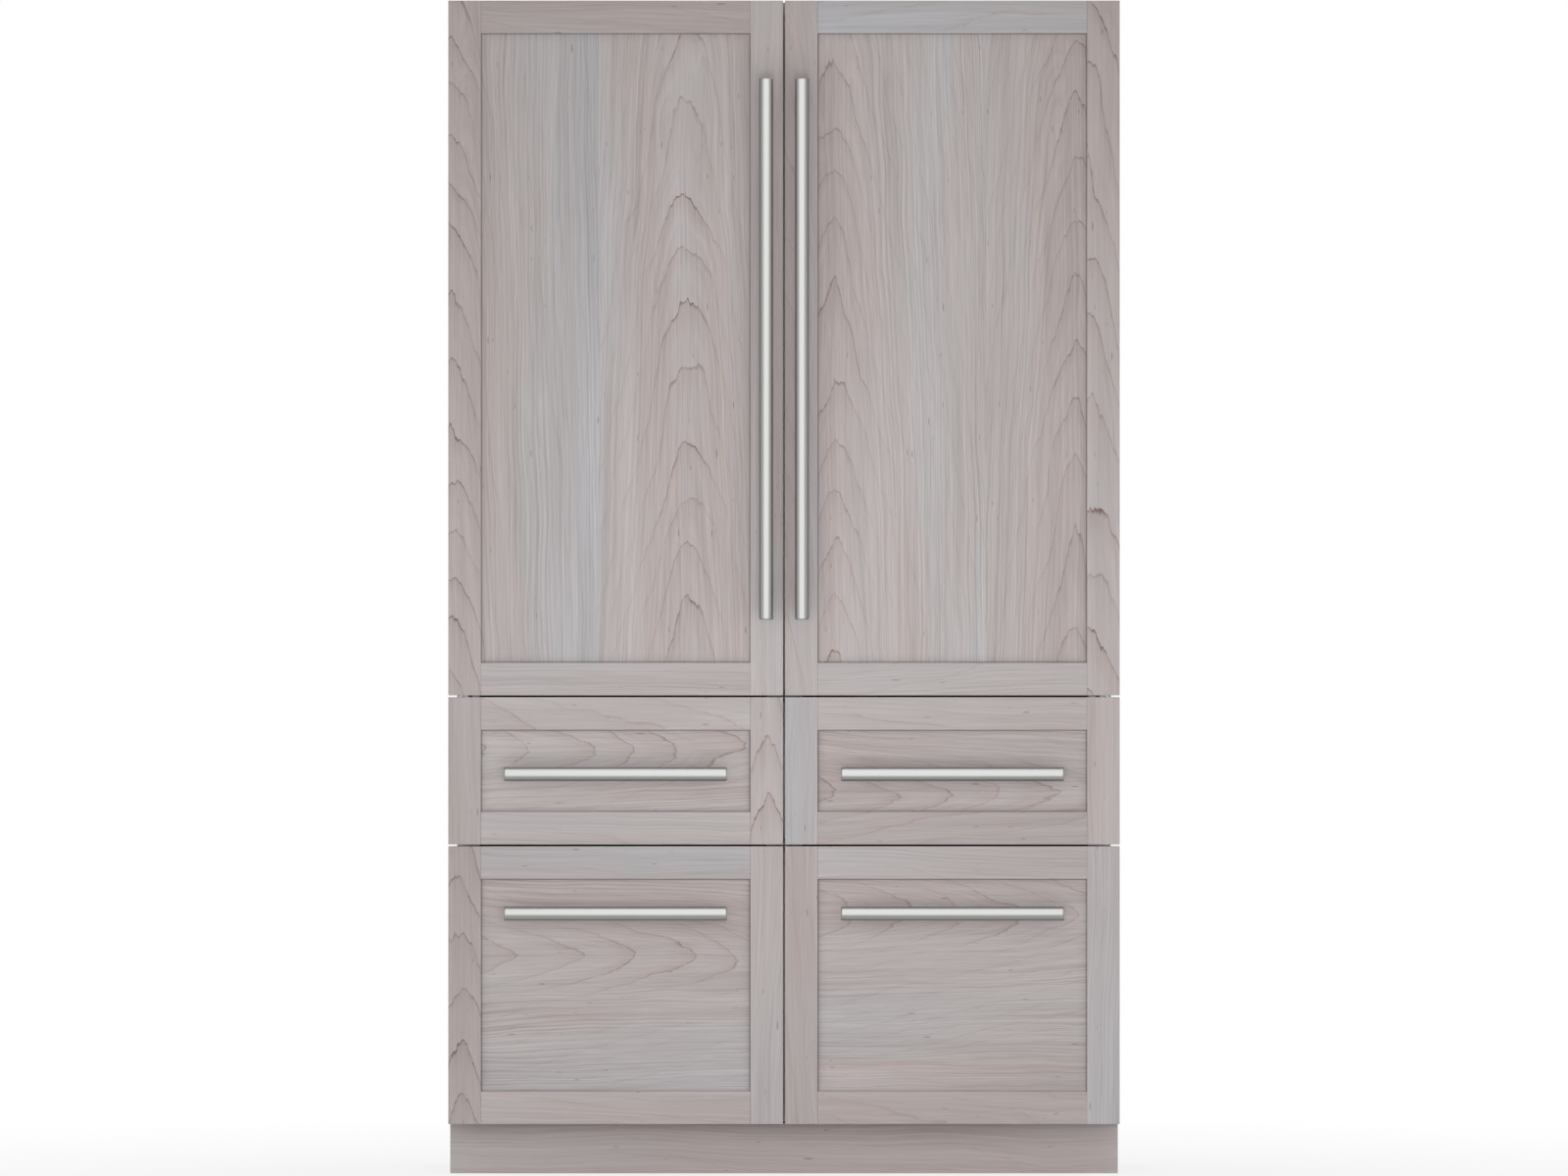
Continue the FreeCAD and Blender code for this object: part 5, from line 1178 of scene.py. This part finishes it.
class REFRIGERATOR_OT_studio(bpy.types.Operator):
    """Set the floor, soft lamps, white surroundings and the camera"""

    bl_idname = "refrigerator.studio"
    bl_label = "Studio"

    floor_radii = (0.02, 60.0)
    floor_around = 96
    shadow_share, shadow_radii = 0.8, (0.8, 3.0)
    sensor_width, far_clip = 36.0, 200.0

    def execute(self, context):
        scene, studio = context.scene, context.scene.studio
        scene.view_settings.view_transform = "Standard"
        self.add_floor(scene)
        self.light_world(scene, studio)
        for name, (place, aim, size, setting) in LAMPS.items():
            lamp = self.add_lamp(scene, name, place, aim, size, getattr(studio, setting))
            lamp.visible_diffuse, lamp.visible_glossy = name != REFLECTOR, name == REFLECTOR
        self.add_camera(scene, studio)
        return {"FINISHED"}

    def add_floor(self, scene):
        """A flat disc on the ground: points are radius (cos, sin) on a grid of radii and angles. It looks
        white, and near its middle a share of it takes the light and the shadow of the refrigerator."""
        radii = np.linspace(*self.floor_radii, 3)
        circle = turned(round_angles(self.floor_around), AXIS_X, AXIS_Y)
        points = (radii[:, None, None] * circle).reshape(-1, 3)
        quads = grid_quads(len(radii), self.floor_around)[:, ::-1]
        mesh = bpy.data.meshes.new("studio_floor")
        mesh.from_pydata(points.tolist(), [], [list(range(self.floor_around)), *quads.tolist()])
        mesh.update()
        floor = bpy.data.objects.new("studio_floor", mesh)
        scene.collection.objects.link(floor)
        material = bpy.data.materials.new("studio_floor")
        g = Graph(material)
        g.set(Base_Color=(0.88, 0.88, 0.88, 1.0), Roughness=0.9, Specular_IOR_Level=0.1)
        x, y, _ = g.split(g.place())
        from_middle = g.root(g.plus(g.times(x, x), g.times(y, y)))
        white = g.times(g.seen(), g.span(from_middle, *self.shadow_radii, self.shadow_share, 1.0))
        glow = g.add("Emission", ()).outputs[0]
        mixed = g.add("MixShader", (white, g.shader.outputs[0], glow))
        g.put(g.nodes["Material Output"].inputs["Surface"], mixed.outputs[0])
        mesh.materials.append(material)

    @staticmethod
    def light_world(scene, studio):
        """White to the eye, to metal and through glass, and an even fill for everything else."""
        world = scene.world or bpy.data.worlds.new("studio")
        scene.world = world
        g = Graph(world)
        backdrop = g.nodes["Background"].inputs
        g.put(backdrop["Color"], (1, 1, 1, 1))
        g.put(backdrop["Strength"], g.span(g.seen(), 0.0, 1.0, studio.fill, 1.0))

    @staticmethod
    def add_lamp(scene, name, place, aim, size, watts):
        """A soft rectangular lamp that faces its aim and stays out of the picture."""
        data = bpy.data.lights.new(name, "AREA")
        data.shape, data.size, data.size_y, data.energy = "RECTANGLE", size[0], size[1], watts
        lamp = bpy.data.objects.new(name, data)
        scene.collection.objects.link(lamp)
        lamp.location = place
        lamp.rotation_euler = (Vector(aim) - lamp.location).to_track_quat("-Z", "Y").to_euler()
        lamp.visible_camera = False
        return lamp

    def add_camera(self, scene, studio):
        """A long lens, square to the fronts: lens over sensor is distance over the width of the picture."""
        data = bpy.data.cameras.new("camera")
        data.sensor_width = self.sensor_width
        data.lens = data.sensor_width * studio.camera_distance / studio.frame_width
        data.clip_end = self.far_clip
        camera = bpy.data.objects.new("camera", data)
        scene.collection.objects.link(camera)
        face = float(corners("left_door_wood_front")[0][1])
        camera.location = (0.0, face - studio.camera_distance, studio.camera_height)
        camera.rotation_euler = (math.radians(90), 0, 0)
        scene.camera = camera


class REFRIGERATOR_PT_panel(bpy.types.Panel):
    """Lists the sizes, the colours and the pieces"""

    bl_label = "Refrigerator"
    bl_space_type = "VIEW_3D"
    bl_region_type = "UI"
    bl_category = "Refrigerator"

    def draw(self, context):
        for group in (*settings(context), context.scene.studio):
            box = self.layout.box()
            for name in group.__annotations__:
                box.prop(group, name)
        for operator in OPERATORS:
            self.layout.operator(operator.bl_idname)


OPERATORS = (
    REFRIGERATOR_OT_shaker_fronts,
    REFRIGERATOR_OT_toe_board,
    REFRIGERATOR_OT_bar_handles,
    REFRIGERATOR_OT_leaf_seals,
    REFRIGERATOR_OT_door_bins,
    REFRIGERATOR_OT_shelf_trims,
    REFRIGERATOR_OT_back_screws,
    REFRIGERATOR_OT_cabinet_finish,
    REFRIGERATOR_OT_interior_finish,
    REFRIGERATOR_OT_studio,
)
GROUPS = {
    "refrigerator_sizes": RefrigeratorSizes,
    "refrigerator_colors": RefrigeratorColors,
    "studio": StudioSettings,
}


def register():
    for cls in (*GROUPS.values(), *OPERATORS, REFRIGERATOR_PT_panel):
        bpy.utils.register_class(cls)
    for name, group in GROUPS.items():
        setattr(bpy.types.Scene, name, bpy.props.PointerProperty(type=group))


def unregister():
    for name in GROUPS:
        delattr(bpy.types.Scene, name)
    for cls in reversed((*GROUPS.values(), *OPERATORS, REFRIGERATOR_PT_panel)):
        bpy.utils.unregister_class(cls)


def main():
    register()
    bpy.ops.refrigerator.shaker_fronts()
    bpy.ops.refrigerator.toe_board()
    bpy.ops.refrigerator.bar_handles()
    bpy.ops.refrigerator.leaf_seals()
    bpy.ops.refrigerator.door_bins()
    bpy.ops.refrigerator.shelf_trims()
    bpy.ops.refrigerator.back_screws()
    bpy.ops.refrigerator.cabinet_finish()
    bpy.ops.refrigerator.interior_finish()
    bpy.ops.refrigerator.studio()


if __name__ == "__main__":
    main()
